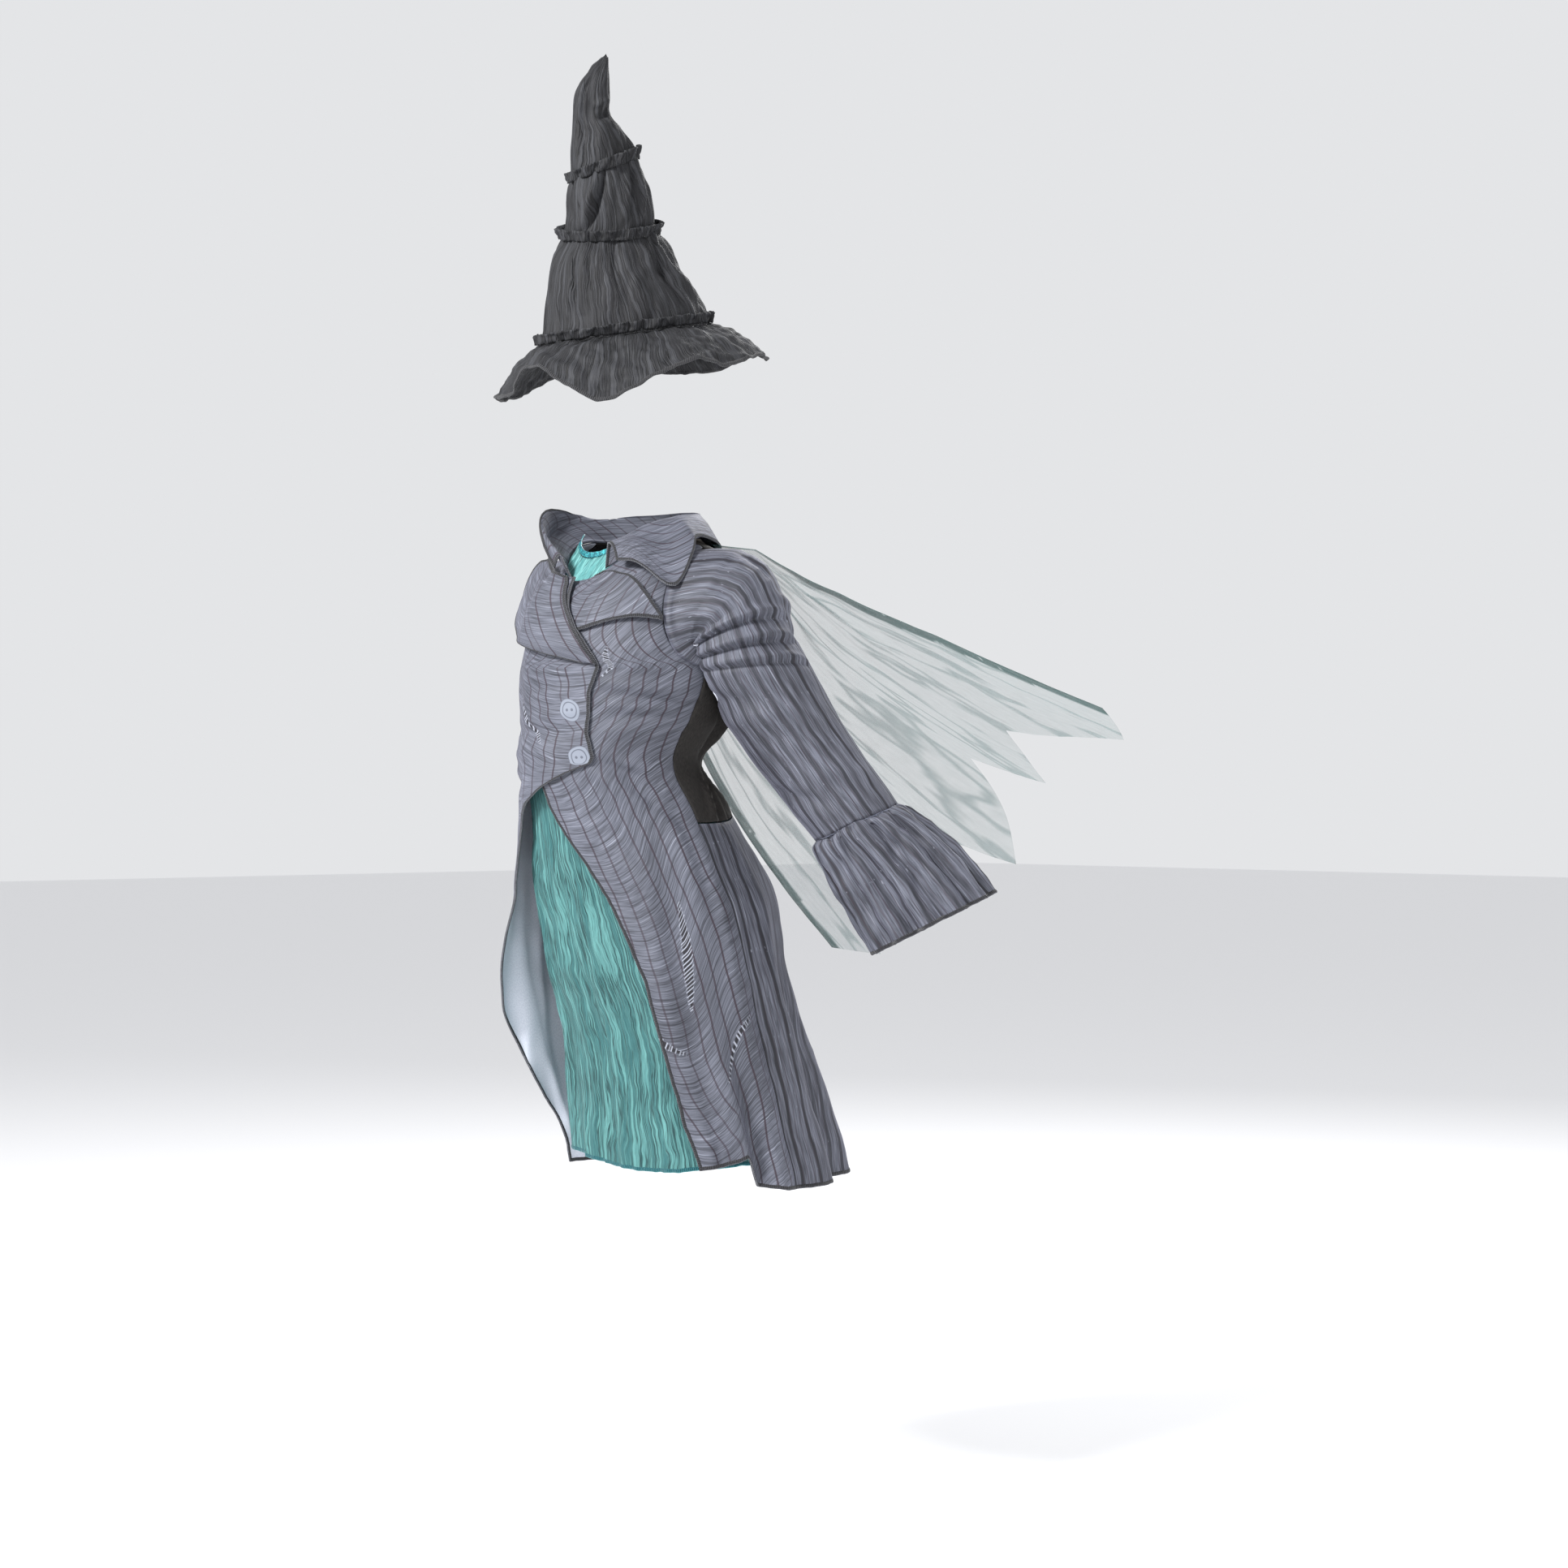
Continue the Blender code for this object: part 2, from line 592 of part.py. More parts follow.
def lapels(material):
    """The two pointed lapels, folded back onto the fronts."""
    def lapel(table, side):
        sections = numbered(table)

        def place(across, along):
            row = straight(sections, along * (len(sections) - 1))
            angle = row.fold_angle + (row.edge_angle - row.fold_angle) * across
            level = row.fold_level + (row.edge_level - row.fold_level) * across
            level -= row.drawn_up * math.sin(math.pi * across)
            height = LAPEL_SEAT + row.stand * across
            if side < 0:
                roll = math.sin(math.pi * min(across * LAPEL_ROLL_FADE, 1))
                height += lapped_height(angle, level) + LAPEL_ROLL * roll
            return raised(coat, angle, level, height)
        return place

    cloth_sheet("lapel_right", lapel(LAPEL_RIGHT, -1), material)
    cloth_sheet("lapel_left", lapel(LAPEL_LEFT, 1), material)


def inset(material, trim):
    """The small neck inset behind the collar, and the trim along its top."""
    def strip(top, length):
        def place(across, along):
            angle = INSET_START_ANGLE + INSET_SWEEP * across
            return raised(coat, angle, top + length * along, -INSET_DEPTH)
        return place

    cloth_sheet("neck_inset", strip(INSET_TOP, INSET_LENGTH), material)
    cloth_sheet("inset_trim", strip(TRIM_TOP, TRIM_LENGTH), trim)


def sleeve_ring(section, side, turn):
    """A point of a sleeve's section; turn is 0 at the outer side and runs over the front."""
    heading = math.radians(ARM_HEADING["left" if side > 0 else "right"])
    out = Vector((side * math.cos(heading), math.sin(heading), 0))
    across = Vector((side * math.sin(heading), -math.cos(heading), 0))
    tilt = math.radians(section.raised)
    width = out * math.cos(tilt) + Vector((0, 0, math.sin(tilt)))
    centre = Vector((side * ARM_START_X, ARM_START_Y, section.z)) + out * section.out
    return (
        centre
        + width * section.half_width * math.cos(turn)
        + across * section.half_depth * math.sin(turn)
    )


def clear_of_coat(point, clearance):
    """The point, pushed out level until it lies this far outside the coat."""
    ring = between(COAT_BY_HEIGHT, -point.z)
    depth = ring.middle_y - ring.front_y if point.y < ring.middle_y else ring.back_y - ring.middle_y
    sideways = (point.x - ring.centre_x) / (ring.half_width + clearance)
    endways = (point.y - ring.middle_y) / (depth + clearance)
    share = math.hypot(sideways, endways)
    if share >= 1:
        return point
    centre = Vector((ring.centre_x, ring.middle_y, point.z))
    return centre + (point - centre) / max(share, DEEPEST_SHARE)


def armhole_point(side, turn):
    """The armhole's edge; turn is 0 at the shoulder and runs over the front."""
    middle = (SHOULDER_LEVEL + UNDERARM_LEVEL) / 2
    half = (UNDERARM_LEVEL - SHOULDER_LEVEL) / 2
    level = middle - half * math.cos(turn)
    side_angle = between(EDGES, level).side
    angle = side * (side_angle - ARMHOLE_HALF * math.sin(turn))
    return raised(coat, angle, level, CLOTH / 2 + SEAM_GAP + SEAT)


def sleeves(material):
    """The sleeves, from the armhole through the puffed head to the wrist seam."""
    sections = numbered(SLEEVE)

    def sleeve(side):
        def place(across, along):
            turn = 2 * math.pi * across
            place_along = along * len(SLEEVE)
            if place_along < 1:
                start = armhole_point(side, turn)
                end = sleeve_ring(SLEEVE[0], side, turn)
                if place_along == 0:
                    return start
                return clear_of_coat(start.lerp(end, place_along), COAT_CLEARANCE)
            section = between(sections, place_along - 1)
            return clear_of_coat(sleeve_ring(section, side, turn), COAT_CLEARANCE)
        return place

    cloth_sheet("sleeve_left", sleeve(1), material)
    cloth_sheet("sleeve_right", sleeve(-1), material)


def cuffs(material):
    """The gathered bell cuffs."""
    sections = numbered(CUFF)

    def cuff(side):
        def place(across, along):
            turn = 2 * math.pi * across
            section = between(sections, along * (len(sections) - 1))
            point = sleeve_ring(section, side, turn)
            centre = (point + sleeve_ring(section, side, turn + math.pi)) / 2
            wave = CUFF_WAVE * ease(along * CUFF_WAVE_EASE) * math.cos(CUFF_WAVES * turn)
            return point + (point - centre).normalized() * wave
        return place

    cloth_sheet("cuff_left", cuff(1), material)
    cloth_sheet("cuff_right", cuff(-1), material)


def hat_point(z, angle, out=0.0, rise=0.0):
    """A point on the hat's ring at a height; angle 0 faces where the head is turned."""
    ring = between(HAT, z)
    turn = math.radians(angle)
    across = ring.across + (ring.radius + out) * math.sin(turn)
    ahead = ring.ahead + (ring.radius + out) * math.cos(turn)
    raised_side = (ring.radius + out) * math.sin(turn) * math.tan(math.radians(ring.side_tilt))
    lowered_front = (ring.radius + out) * math.cos(turn) * math.tan(math.radians(ring.front_tilt))
    return Vector((
        across * math.cos(WEARER_TURN) + ahead * math.sin(WEARER_TURN),
        across * math.sin(WEARER_TURN) - ahead * math.cos(WEARER_TURN),
        z + raised_side - lowered_front + rise,
    ))


def hat(material):
    """The hat's tube in three stretches, and the three frills gathered over its joins."""
    def tube(low, high):
        def place(across, along):
            return hat_point(low + (high - low) * along, 360 * across)
        return place

    def frill(strip):
        def place(across, along):
            angle = 360 * across
            wave = FRILL_WAVE * math.sin(math.radians(strip.waves * angle))
            seam = hat_point(strip.z - strip.down, angle, CLOTH + SEAM_GAP + SEAT)
            heading = hat_point(strip.z, angle, FRILL_FLARE + wave, strip.up)
            return seam.lerp(heading, along)
        return place

    gap = SEAM_GAP + CLOTH / 2
    cloth_sheet("hat_crown", tube(BRIM_SEAM_Z + gap, CROWN_TOP_Z), material)
    cloth_sheet("hat_upper_band", tube(CROWN_TOP_Z + gap, BAND_TOP_Z), material)
    cloth_sheet("hat_tip", tube(BAND_TOP_Z + gap, HAT_TOP_Z), material)
    cloth_sheet("hat_frill_brim", frill(BRIM_FRILL), material)
    cloth_sheet("hat_frill_middle", frill(MIDDLE_FRILL), material)
    cloth_sheet("hat_frill_top", frill(TOP_FRILL), material)


def brim(material):
    """The waved brim, drooping from the crown's seam."""
    def place(across, along):
        angle = -180 + 360 * across
        section = between(BRIM, angle)
        reach = section.reach * along
        drop = section.drop * (BRIM_STRAIGHT_SHARE * along + BRIM_CURVED_SHARE * along**2)
        return hat_point(BRIM_SEAM_Z, angle, reach + BRIM_SEAM_OUT, -drop)

    cloth_sheet("hat_brim", place, material)


def cape(material):
    """The sheer cape, sewn along the back of the neck and streaming out behind."""
    edges = numbered(TATTERS)

    def station_at(reach):
        """The two edges at a reach, run straight on past the last station."""
        inside = between(CAPE, min(reach, 1.0))
        last, near_end = CAPE[-1], CAPE[-2]
        beyond = max(reach - 1.0, 0.0) / (last.along - near_end.along)
        values = [a + (b - c) * beyond for a, b, c in zip(inside[1:], last[1:], near_end[1:])]
        return Vector(values[:3]), Vector(values[3:])

    def place(across, along):
        tatter = straight(edges, across * (len(edges) - 1))
        if along == 0:
            sewn = CAPE_SEAM_LEFT + (CAPE_SEAM_RIGHT - CAPE_SEAM_LEFT) * tatter.across
            return raised(coat, sewn, CAPE_SEAM_LEVEL, CAPE_SEAM_HEIGHT)
        reach = tatter.reach * along
        left, right = station_at(reach)
        arch = CAPE_SAG * math.sin(math.pi * tatter.across)
        wave = CAPE_WAVE * reach * math.sin(2 * math.pi * CAPE_WAVES * tatter.across)
        return left.lerp(right, tatter.across) + Vector((wave, arch, 0))

    cloth_sheet("cape", place, material, SHEER)


HeightRing = namedtuple("HeightRing", "down centre_x middle_y half_width front_y back_y")
COAT_BY_HEIGHT = tuple(
    HeightRing(-ring.side_z, ring.centre_x, ring.middle_y, ring.half_width, ring.front_y, ring.back_y)
    for ring in COAT
)

for old in list(bpy.data.objects):
    bpy.data.objects.remove(old)
costume = bpy.data.collections.new("witch_costume")
bpy.context.scene.collection.children.link(costume)

coat_cloth = cloth_material("coat cloth", (0.12, 0.12, 0.15), 0.75)
hat_cloth = cloth_material("hat cloth", (0.05, 0.05, 0.055), 0.8)
black_stretch = cloth_material("black stretch", (0.015, 0.014, 0.013), 0.7)
teal_cloth = cloth_material("teal crinkle", (0.11, 0.30, 0.30), 0.6)
trim_cloth = cloth_material("glitter trim", (0.0, 0.26, 0.30), 0.4)
sheer_cloth = cloth_material("sheer", (0.68, 0.73, 0.73), 0.6)

coat_fronts(coat_cloth)
back_pieces(black_stretch, coat_cloth)
underskirt(teal_cloth)
collar(coat_cloth)
lapels(coat_cloth)
inset(teal_cloth, trim_cloth)
sleeves(coat_cloth)
cuffs(coat_cloth)
hat(hat_cloth)
brim(hat_cloth)
cape(sheer_cloth)
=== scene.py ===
# %% [markdown]
# A witch costume, worn by nobody: a tattered tailcoat over a crinkled underskirt, a gathered hat and
# a sheer cape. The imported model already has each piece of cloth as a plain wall. Here every wall gets
# a finer shell on the same form, with creases, sewn edges and a finish.

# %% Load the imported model
import math
from collections import namedtuple
from functools import partial

import bmesh
import bpy
import numpy as np
from mathutils import Matrix, Vector, noise


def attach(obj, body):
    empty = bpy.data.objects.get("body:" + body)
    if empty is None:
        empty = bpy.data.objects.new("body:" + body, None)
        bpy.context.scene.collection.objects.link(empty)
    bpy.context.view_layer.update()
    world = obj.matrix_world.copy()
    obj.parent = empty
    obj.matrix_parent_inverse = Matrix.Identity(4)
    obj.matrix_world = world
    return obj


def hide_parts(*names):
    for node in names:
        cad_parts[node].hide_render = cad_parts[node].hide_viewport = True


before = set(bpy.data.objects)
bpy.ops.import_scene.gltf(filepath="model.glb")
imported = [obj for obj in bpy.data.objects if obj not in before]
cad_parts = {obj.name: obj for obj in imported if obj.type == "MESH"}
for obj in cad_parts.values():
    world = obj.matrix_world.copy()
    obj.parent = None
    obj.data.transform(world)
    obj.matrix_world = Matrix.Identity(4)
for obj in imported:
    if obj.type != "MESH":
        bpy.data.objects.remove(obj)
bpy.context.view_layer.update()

# %% [markdown]
# The camera stands level with the coat, 48 degrees round from its front, where the photograph's was.
# A long lens from 3.5 m keeps the costume's proportions, as portrait photographers do.

# %% Camera
VIEW_TURN = math.radians(48)
CAMERA_DISTANCE = 3.5
CAMERA_ASIDE = 0.150
CAMERA_HEIGHT = -0.243
LENS_MM = 76.7
FLOOR_HEIGHT = -0.98

camera_data = bpy.data.cameras.new("camera")
camera_data.lens = LENS_MM
camera = bpy.data.objects.new("camera", camera_data)
camera.rotation_euler = (math.pi / 2, 0, VIEW_TURN)
camera.location = (
    CAMERA_DISTANCE * math.sin(VIEW_TURN) + CAMERA_ASIDE * math.cos(VIEW_TURN),
    -CAMERA_DISTANCE * math.cos(VIEW_TURN) + CAMERA_ASIDE * math.sin(VIEW_TURN),
    CAMERA_HEIGHT,
)
bpy.context.scene.collection.objects.link(camera)
bpy.context.scene.camera = camera

# %% [markdown]
# The cloth's form comes from a few rings round the body. Angles run round it in degrees: 0 is the
# centre front and 90 the wearer's left. A level runs down the front, and a smooth curve through the
# rings gives every point between them.

# %% Rings of the coat
CLOTH = 0.0015
SHEER = 0.0011
SEAM_GAP = 0.0004
SEAT = 0.0003
LAYER = 0.0028
Ring = namedtuple("Ring", "level centre_x middle_y half_width front_y back_y side_z front_z back_z")


def level_ring(level, centre_x, middle_y, half_width, front_y, back_y):
    """A ring that lies flat at its level."""
    return Ring(level, centre_x, middle_y, half_width, front_y, back_y, -level, -level, -level)


COAT = (
    Ring(-0.030, 0.000, -0.005, 0.060, -0.064, 0.046, 0.030, -0.001, 0.036),
    Ring(0.000, 0.000, -0.005, 0.068, -0.082, 0.058, 0.012, -0.034, 0.014),
    Ring(0.022, 0.000, -0.003, 0.085, -0.094, 0.068, 0.005, -0.050, -0.004),
    Ring(0.045, 0.000, 0.000, 0.101, -0.104, 0.074, -0.004, -0.067, -0.024),
    Ring(0.082, 0.000, -0.008, 0.116, -0.114, 0.078, -0.058, -0.091, -0.068),
    level_ring(0.120, 0.000, -0.012, 0.124, -0.121, 0.079),
    level_ring(0.176, 0.000, -0.014, 0.119, -0.126, 0.077),
    level_ring(0.222, 0.000, -0.030, 0.102, -0.132, 0.041),
    level_ring(0.272, 0.000, -0.020, 0.116, -0.127, 0.080),
    level_ring(0.357, 0.000, -0.010, 0.143, -0.120, 0.142),
    level_ring(0.442, 0.005, -0.005, 0.155, -0.120, 0.152),
    level_ring(0.527, 0.012, 0.005, 0.165, -0.108, 0.178),
    level_ring(0.612, 0.025, 0.020, 0.170, -0.085, 0.205),
    level_ring(0.655, 0.030, 0.025, 0.173, -0.080, 0.212),
)


def between(table, key):
    """The row at a key, on a smooth curve through the rows of the table."""
    key = min(max(key, table[0][0]), table[-1][0])
    index = max(i for i in range(len(table) - 1) if table[i][0] <= key)
    low, high = table[index], table[index + 1]
    before = table[max(index - 1, 0)]
    after = table[min(index + 2, len(table) - 1)]
    span = high[0] - low[0]
    part = (key - low[0]) / span
    rise_low = span / (high[0] - before[0])
    rise_high = span / (after[0] - low[0])
    values = []
    for a, b, c, d in zip(before[1:], low[1:], high[1:], after[1:]):
        slope_low = (c - a) * rise_low
        slope_high = (d - b) * rise_high
        curve = (2 * b - 2 * c + slope_low + slope_high) * part**3
        curve += (3 * c - 3 * b - 2 * slope_low - slope_high) * part**2
        values.append(curve + slope_low * part + b)
    return type(low)(key, *values)


def straight(table, key):
    """The row at a key, on straight lines between the rows, for outlines with corners."""
    key = min(max(key, table[0][0]), table[-1][0])
    index = max(i for i in range(len(table) - 1) if table[i][0] <= key)
    low, high = table[index], table[index + 1]
    part = (key - low[0]) / (high[0] - low[0])
    return type(low)(key, *(a + (b - a) * part for a, b in zip(low[1:], high[1:])))


def ease(value):
    value = min(max(value, 0.0), 1.0)
    return value * value * (3 - 2 * value)


def numbered(table):
    """The table with each row's place in it as its key."""
    row_type = namedtuple("Numbered", ("station", *table[0]._fields))
    return tuple(row_type(index, *row) for index, row in enumerate(table))


def ring_point(table, angle, level):
    """The point at an angle on the ring at a level."""
    ring = between(table, level)
    turn = math.radians(angle)
    front = math.cos(turn) > 0
    depth = ring.middle_y - ring.front_y if front else ring.back_y - ring.middle_y
    end_z = ring.front_z if front else ring.back_z
    return Vector((
        ring.centre_x + ring.half_width * math.sin(turn),
        ring.middle_y - depth * math.cos(turn),
        ring.side_z + (end_z - ring.side_z) * math.cos(turn) ** 2,
    ))


# %% [markdown]
# The coat skirt hangs in folds that deepen towards the hem, and its panels end at edges given by
# angles. Both are short tables, so that a fold or an edge is easy to find and change. A surface's slope,
# which says where outwards is, is taken over small steps of angle and level.

# %% Edges, folds and hem of the coat
Edge = namedtuple("Edge", "level right_front left_front side")
EDGES = (
    Edge(0.000, 1, -8, 90),
    Edge(0.045, 9, -9, 90),
    Edge(0.082, 18, -9, 90),
    Edge(0.124, 31, -9, 87),
    Edge(0.150, 27, -9, 84),
    Edge(0.190, 29, -8, 79),
    Edge(0.216, 37, -5, 83),
    Edge(0.222, 36, -4, 84),
    Edge(0.232, 20, -2, 84),
    Edge(0.247, 0, 1, 85),
    Edge(0.265, -18, 4, 86),
    Edge(0.282, -27, 9, 87),
    Edge(0.320, -34, 21, 89),
    Edge(0.357, -40, 30, 92),
    Edge(0.400, -47, 38, 95),
    Edge(0.442, -53, 44, 97),
    Edge(0.480, -60, 45, 98),
    Edge(0.527, -68, 46, 98),
    Edge(0.562, -76, 46, 98),
    Edge(0.600, -84, 45, 97),
    Edge(0.655, -87, 47, 97),
)
Fold = namedtuple("Fold", "angle half_width depth start")
COAT_FOLDS = (
    Fold(-150, 15, 0.020, 0.300),
    Fold(-121, 12, 0.015, 0.330),
    Fold(-72, 12, 0.008, 0.330),
    Fold(60, 8, 0.010, 0.480),
    Fold(79, 9, 0.016, 0.430),
    Fold(99, 9, 0.012, 0.290),
    Fold(124, 12, 0.020, 0.300),
    Fold(152, 13, 0.016, 0.330),
    Fold(180, 13, 0.018, 0.300),
)
Hem = namedtuple("Hem", "angle level")
COAT_HEMS = (
    Hem(-180, 0.642),
    Hem(-130, 0.650),
    Hem(-86, 0.652),
    Hem(44, 0.632),
    Hem(60, 0.628),
    Hem(71, 0.618),
    Hem(77, 0.648),
    Hem(97, 0.654),
    Hem(130, 0.650),
    Hem(180, 0.642),
)
COAT_HEM = 0.650
HEM_STRETCH_FROM = 0.52
SHOULDER_LEVEL = 0.045
UNDERARM_LEVEL = 0.122
ARMHOLE_HALF = 27
SIDE_SEAM_SLACK = 0.05
ANGLE_STEP = 0.5
SLOPE_STEP = 0.001


def fold_depth(angle, level):
    """How far the coat skirt's folds push it inwards."""
    pushed = 0.0
    for fold in COAT_FOLDS:
        away = abs((angle - fold.angle + 180) % 360 - 180) / fold.half_width
        grown = ease((level - fold.start) / (COAT_HEM - fold.start))
        pushed += fold.depth * grown * ease(1 - away)
    return pushed


def coat(angle, level):
    """The coat's own surface."""
    point = ring_point(COAT, angle, level)
    inwards = Vector((between(COAT, level).centre_x, 0, point.z)) - point
    return point + inwards.normalized() * fold_depth(angle, level)


def raised(surface, angle, level, height):
    """A surface's point, moved outwards."""
    if height == 0:
        return surface(angle, level)
    around = surface(angle + ANGLE_STEP, level) - surface(angle - ANGLE_STEP, level)
    down = surface(angle, level + SLOPE_STEP) - surface(angle, level - SLOPE_STEP)
    return surface(angle, level) + down.cross(around).normalized() * height


def armhole(level):
    """Half the armhole's width in degrees at a level."""
    part = (level - SHOULDER_LEVEL) / (UNDERARM_LEVEL - SHOULDER_LEVEL)
    return ARMHOLE_HALF * math.sqrt(1 - (2 * part - 1) ** 2) if 0 < part < 1 else 0.0


def seam_angle(level):
    """The angle that half the seam gap takes at the coat's side."""
    return math.degrees(SEAM_GAP / 2 / between(COAT, level).half_width) + SIDE_SEAM_SLACK


def to_hem(angle, level):
    """The level, stretched or drawn up so that the last row lies on the hem."""
    turned = (angle + 180) % 360 - 180
    share = ease((level - HEM_STRETCH_FROM) / (COAT_HEM - HEM_STRETCH_FROM))
    return level + (straight(COAT_HEMS, turned).level - COAT_HEM) * share


# %% [markdown]
# Real cloth never lies smooth. A crease here is a soft trough or ridge along a line, with its own
# width and depth, fading out at both ends. They are listed in the piece's own coordinates,
# and an uneven ripple from smooth noise keeps the cloth between them alive.

# %% Creases
Crease = namedtuple("Crease", "x y end_x end_y width height")
END_FADE = 0.6


def creased(creases, x, y, scale):
    """How far the creases raise each point. x and y are arrays, scale their units in metres."""
    total = np.zeros_like(x)
    for crease in creases:
        across = ((x - crease.x + 180) % 360 - 180) * scale[0]
        along = (y - crease.y) * scale[1]
        run = ((crease.end_x - crease.x + 180) % 360 - 180) * scale[0]
        fall = (crease.end_y - crease.y) * scale[1]
        share = np.clip((across * run + along * fall) / (run**2 + fall**2), 0, 1)
        away = np.hypot(across - run * share, along - fall * share) / crease.width
        total += crease.height * np.exp(-(away**2)) * np.sin(math.pi * share) ** END_FADE
    return total


Ripple = namedtuple("Ripple", "height level_scale upright_scale")
PLAIN_RIPPLES = (Ripple(0.0022, 20, 20), Ripple(0.0007, 62, 48))


def rippled(points, ripples):
    """A smooth unevenness of each point, finer where its scales are larger."""
    total = np.zeros(points.shape[:2])
    for ripple in ripples:
        for place in np.ndindex(total.shape):
            x, y, z = points[place]
            spot = (x * ripple.level_scale, y * ripple.level_scale, z * ripple.upright_scale)
            total[place] += ripple.height * noise.noise(spot)
    return total


# %% [markdown]
# One function makes every shell. It lays a grid by a rule that turns two shares, across and along,
# into a point, and raises the creases. It measures the cloth along its own threads for the UV map, which
# is in metres, so that a print keeps its real scale; on a tube or a fan the threads spread evenly
# instead. Last it gives the cloth its wall.

# %% Cloth shells
Shell = namedtuple("Shell", "piece points normals")


def arc_lengths(points, axis):
    """The way along the cloth to each point of the grid, in metres."""
    steps = np.linalg.norm(np.diff(points, axis=axis), axis=2)
    start = np.zeros_like(np.take(steps, [0], axis=axis))
    return np.concatenate([start, np.cumsum(steps, axis=axis)], axis=axis)


def surface_normals(points, tube):
    """Unit vectors that point out of the cloth, and whether the grid faced inwards."""
    around = np.gradient(points, axis=1)
    if tube:
        around[:, 0] = around[:, -1] = (points[:, 1] - points[:, -2]) / 2
    normals = np.cross(around, np.gradient(points, axis=0))
    normals /= np.maximum(np.linalg.norm(normals, axis=2, keepdims=True), 1e-12)
    middle = points.mean(axis=1, keepdims=True) if tube else points * (0, 0, 1)
    inwards = (normals * (points - middle)).sum() < 0
    return (-normals if inwards else normals), inwards


def cloth_grid(name, points, across, along, tube, inwards):
    """A mesh of the points, with the metres across and along the cloth as its UV map."""
    rows, columns = (count - 1 for count in points.shape[:2])
    grid = bmesh.new()
    bmesh.ops.create_grid(grid, x_segments=columns, y_segments=rows, size=0.5)
    cloth_map = grid.loops.layers.uv.new("cloth")
    for face in grid.faces:
        for loop in face.loops:
            corner = loop.vert.co
            place = round((corner.y + 0.5) * rows), round((corner.x + 0.5) * columns)
            loop[cloth_map].uv = across[place], along[place]
    for vert in grid.verts:
        vert.co = points[round((vert.co.y + 0.5) * rows), round((vert.co.x + 0.5) * columns)]
    bmesh.ops.remove_doubles(grid, verts=grid.verts, dist=1e-6)
    if inwards:
        bmesh.ops.reverse_faces(grid, faces=grid.faces)
    mesh = bpy.data.meshes.new(name)
    grid.to_mesh(mesh)
    grid.free()
    mesh.shade_smooth()
    piece = bpy.data.objects.new(name, mesh)
    bpy.context.scene.collection.objects.link(piece)
    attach(piece, "root")
    return piece


def cloth_shell(
    node, place, columns, rows, finish, slot, held="hung", inside=None, creases=(), chart=None,
    scale=(1, 1), ripples=PLAIN_RIPPLES, wall=CLOTH, tube=False, fanned=False, threads_from=0.0,
    trimmed_with=(),
):
    """The shell that stands for a node's plain wall. threads_from is the share where u is 0."""
    shares = [(i / columns, j / rows) for j in range(rows + 1) for i in range(columns + 1)]
    points = np.array([place(*share) for share in shares]).reshape(rows + 1, columns + 1, 3)
    normals, inwards = surface_normals(points, tube)
    if creases:
        spots = np.array([chart(*share) for share in shares]).reshape(rows + 1, columns + 1, 2)
        points = points + normals * creased(creases, spots[..., 0], spots[..., 1], scale)[..., None]
    points = points + normals * rippled(points, ripples)[..., None]
    if tube:
        points[:, -1] = points[:, 0]
    across, along = arc_lengths(points, 1), arc_lengths(points, 0)
    if tube or fanned:
        even = np.linspace(0, across[:, -1].mean(), columns + 1)
        across = even[None, :].repeat(rows + 1, axis=0)
    else:
        across = across - across[:, [round(threads_from * columns)]]
    piece = cloth_grid(node + "_cloth", points, across, along, tube, inwards)
    piece.data.materials.append(finish)
    wall_modifier = piece.modifiers.new("Wall", "SOLIDIFY")
    wall_modifier.thickness = wall
    wall_modifier.offset = 0
    if inside:
        piece.data.materials.append(inside)
        wall_modifier.material_offset = 1
    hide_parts(node)
    if held:
        area = sum(face.area for face in piece.data.polygons)
    return Shell(piece, points, normals)


# %% [markdown]
# Raw edges of stretch cloth are overlocked: a narrow band of thread wraps the edge. Each band here is
# a flat tube swept along the edge points of a finished shell, so that it follows every crease.

# %% Overlocked edges
EDGE_WIDTH = 0.0044
EDGE_THICKNESS = 0.0027
EDGE_OVERHANG = 0.0005
EDGE_STEP = 0.0022
EDGE_SIDES = 10
EDGE_SQUARENESS = 0.7
EDGE_WOBBLE = 0.0006
EDGE_WOBBLE_SCALE = 160


def edge_path(shell, side):
    """Points, inward directions and normals along one side of a shell: left, right, top or bottom."""
    outer, inner = (0, 1) if side in ("left", "top") else (-1, -2)
    points, normals = shell.points, shell.normals
    if side in ("left", "right"):
        points, normals = points.transpose(1, 0, 2), normals.transpose(1, 0, 2)
    inward = points[inner] - points[outer]
    inward /= np.maximum(np.linalg.norm(inward, axis=1, keepdims=True), 1e-9)
    return points[outer], inward, normals[outer]


def spaced_evenly(path, step):
    """The path's rows at even steps of its length."""
    points = path[0]
    way = np.concatenate([[0], np.cumsum(np.linalg.norm(np.diff(points, axis=0), axis=1))])
    stops = np.linspace(0, way[-1], max(round(way[-1] / step), 2) + 1)
    return [np.stack([np.interp(stops, way, rows[:, k]) for k in range(3)], 1) for rows in path]


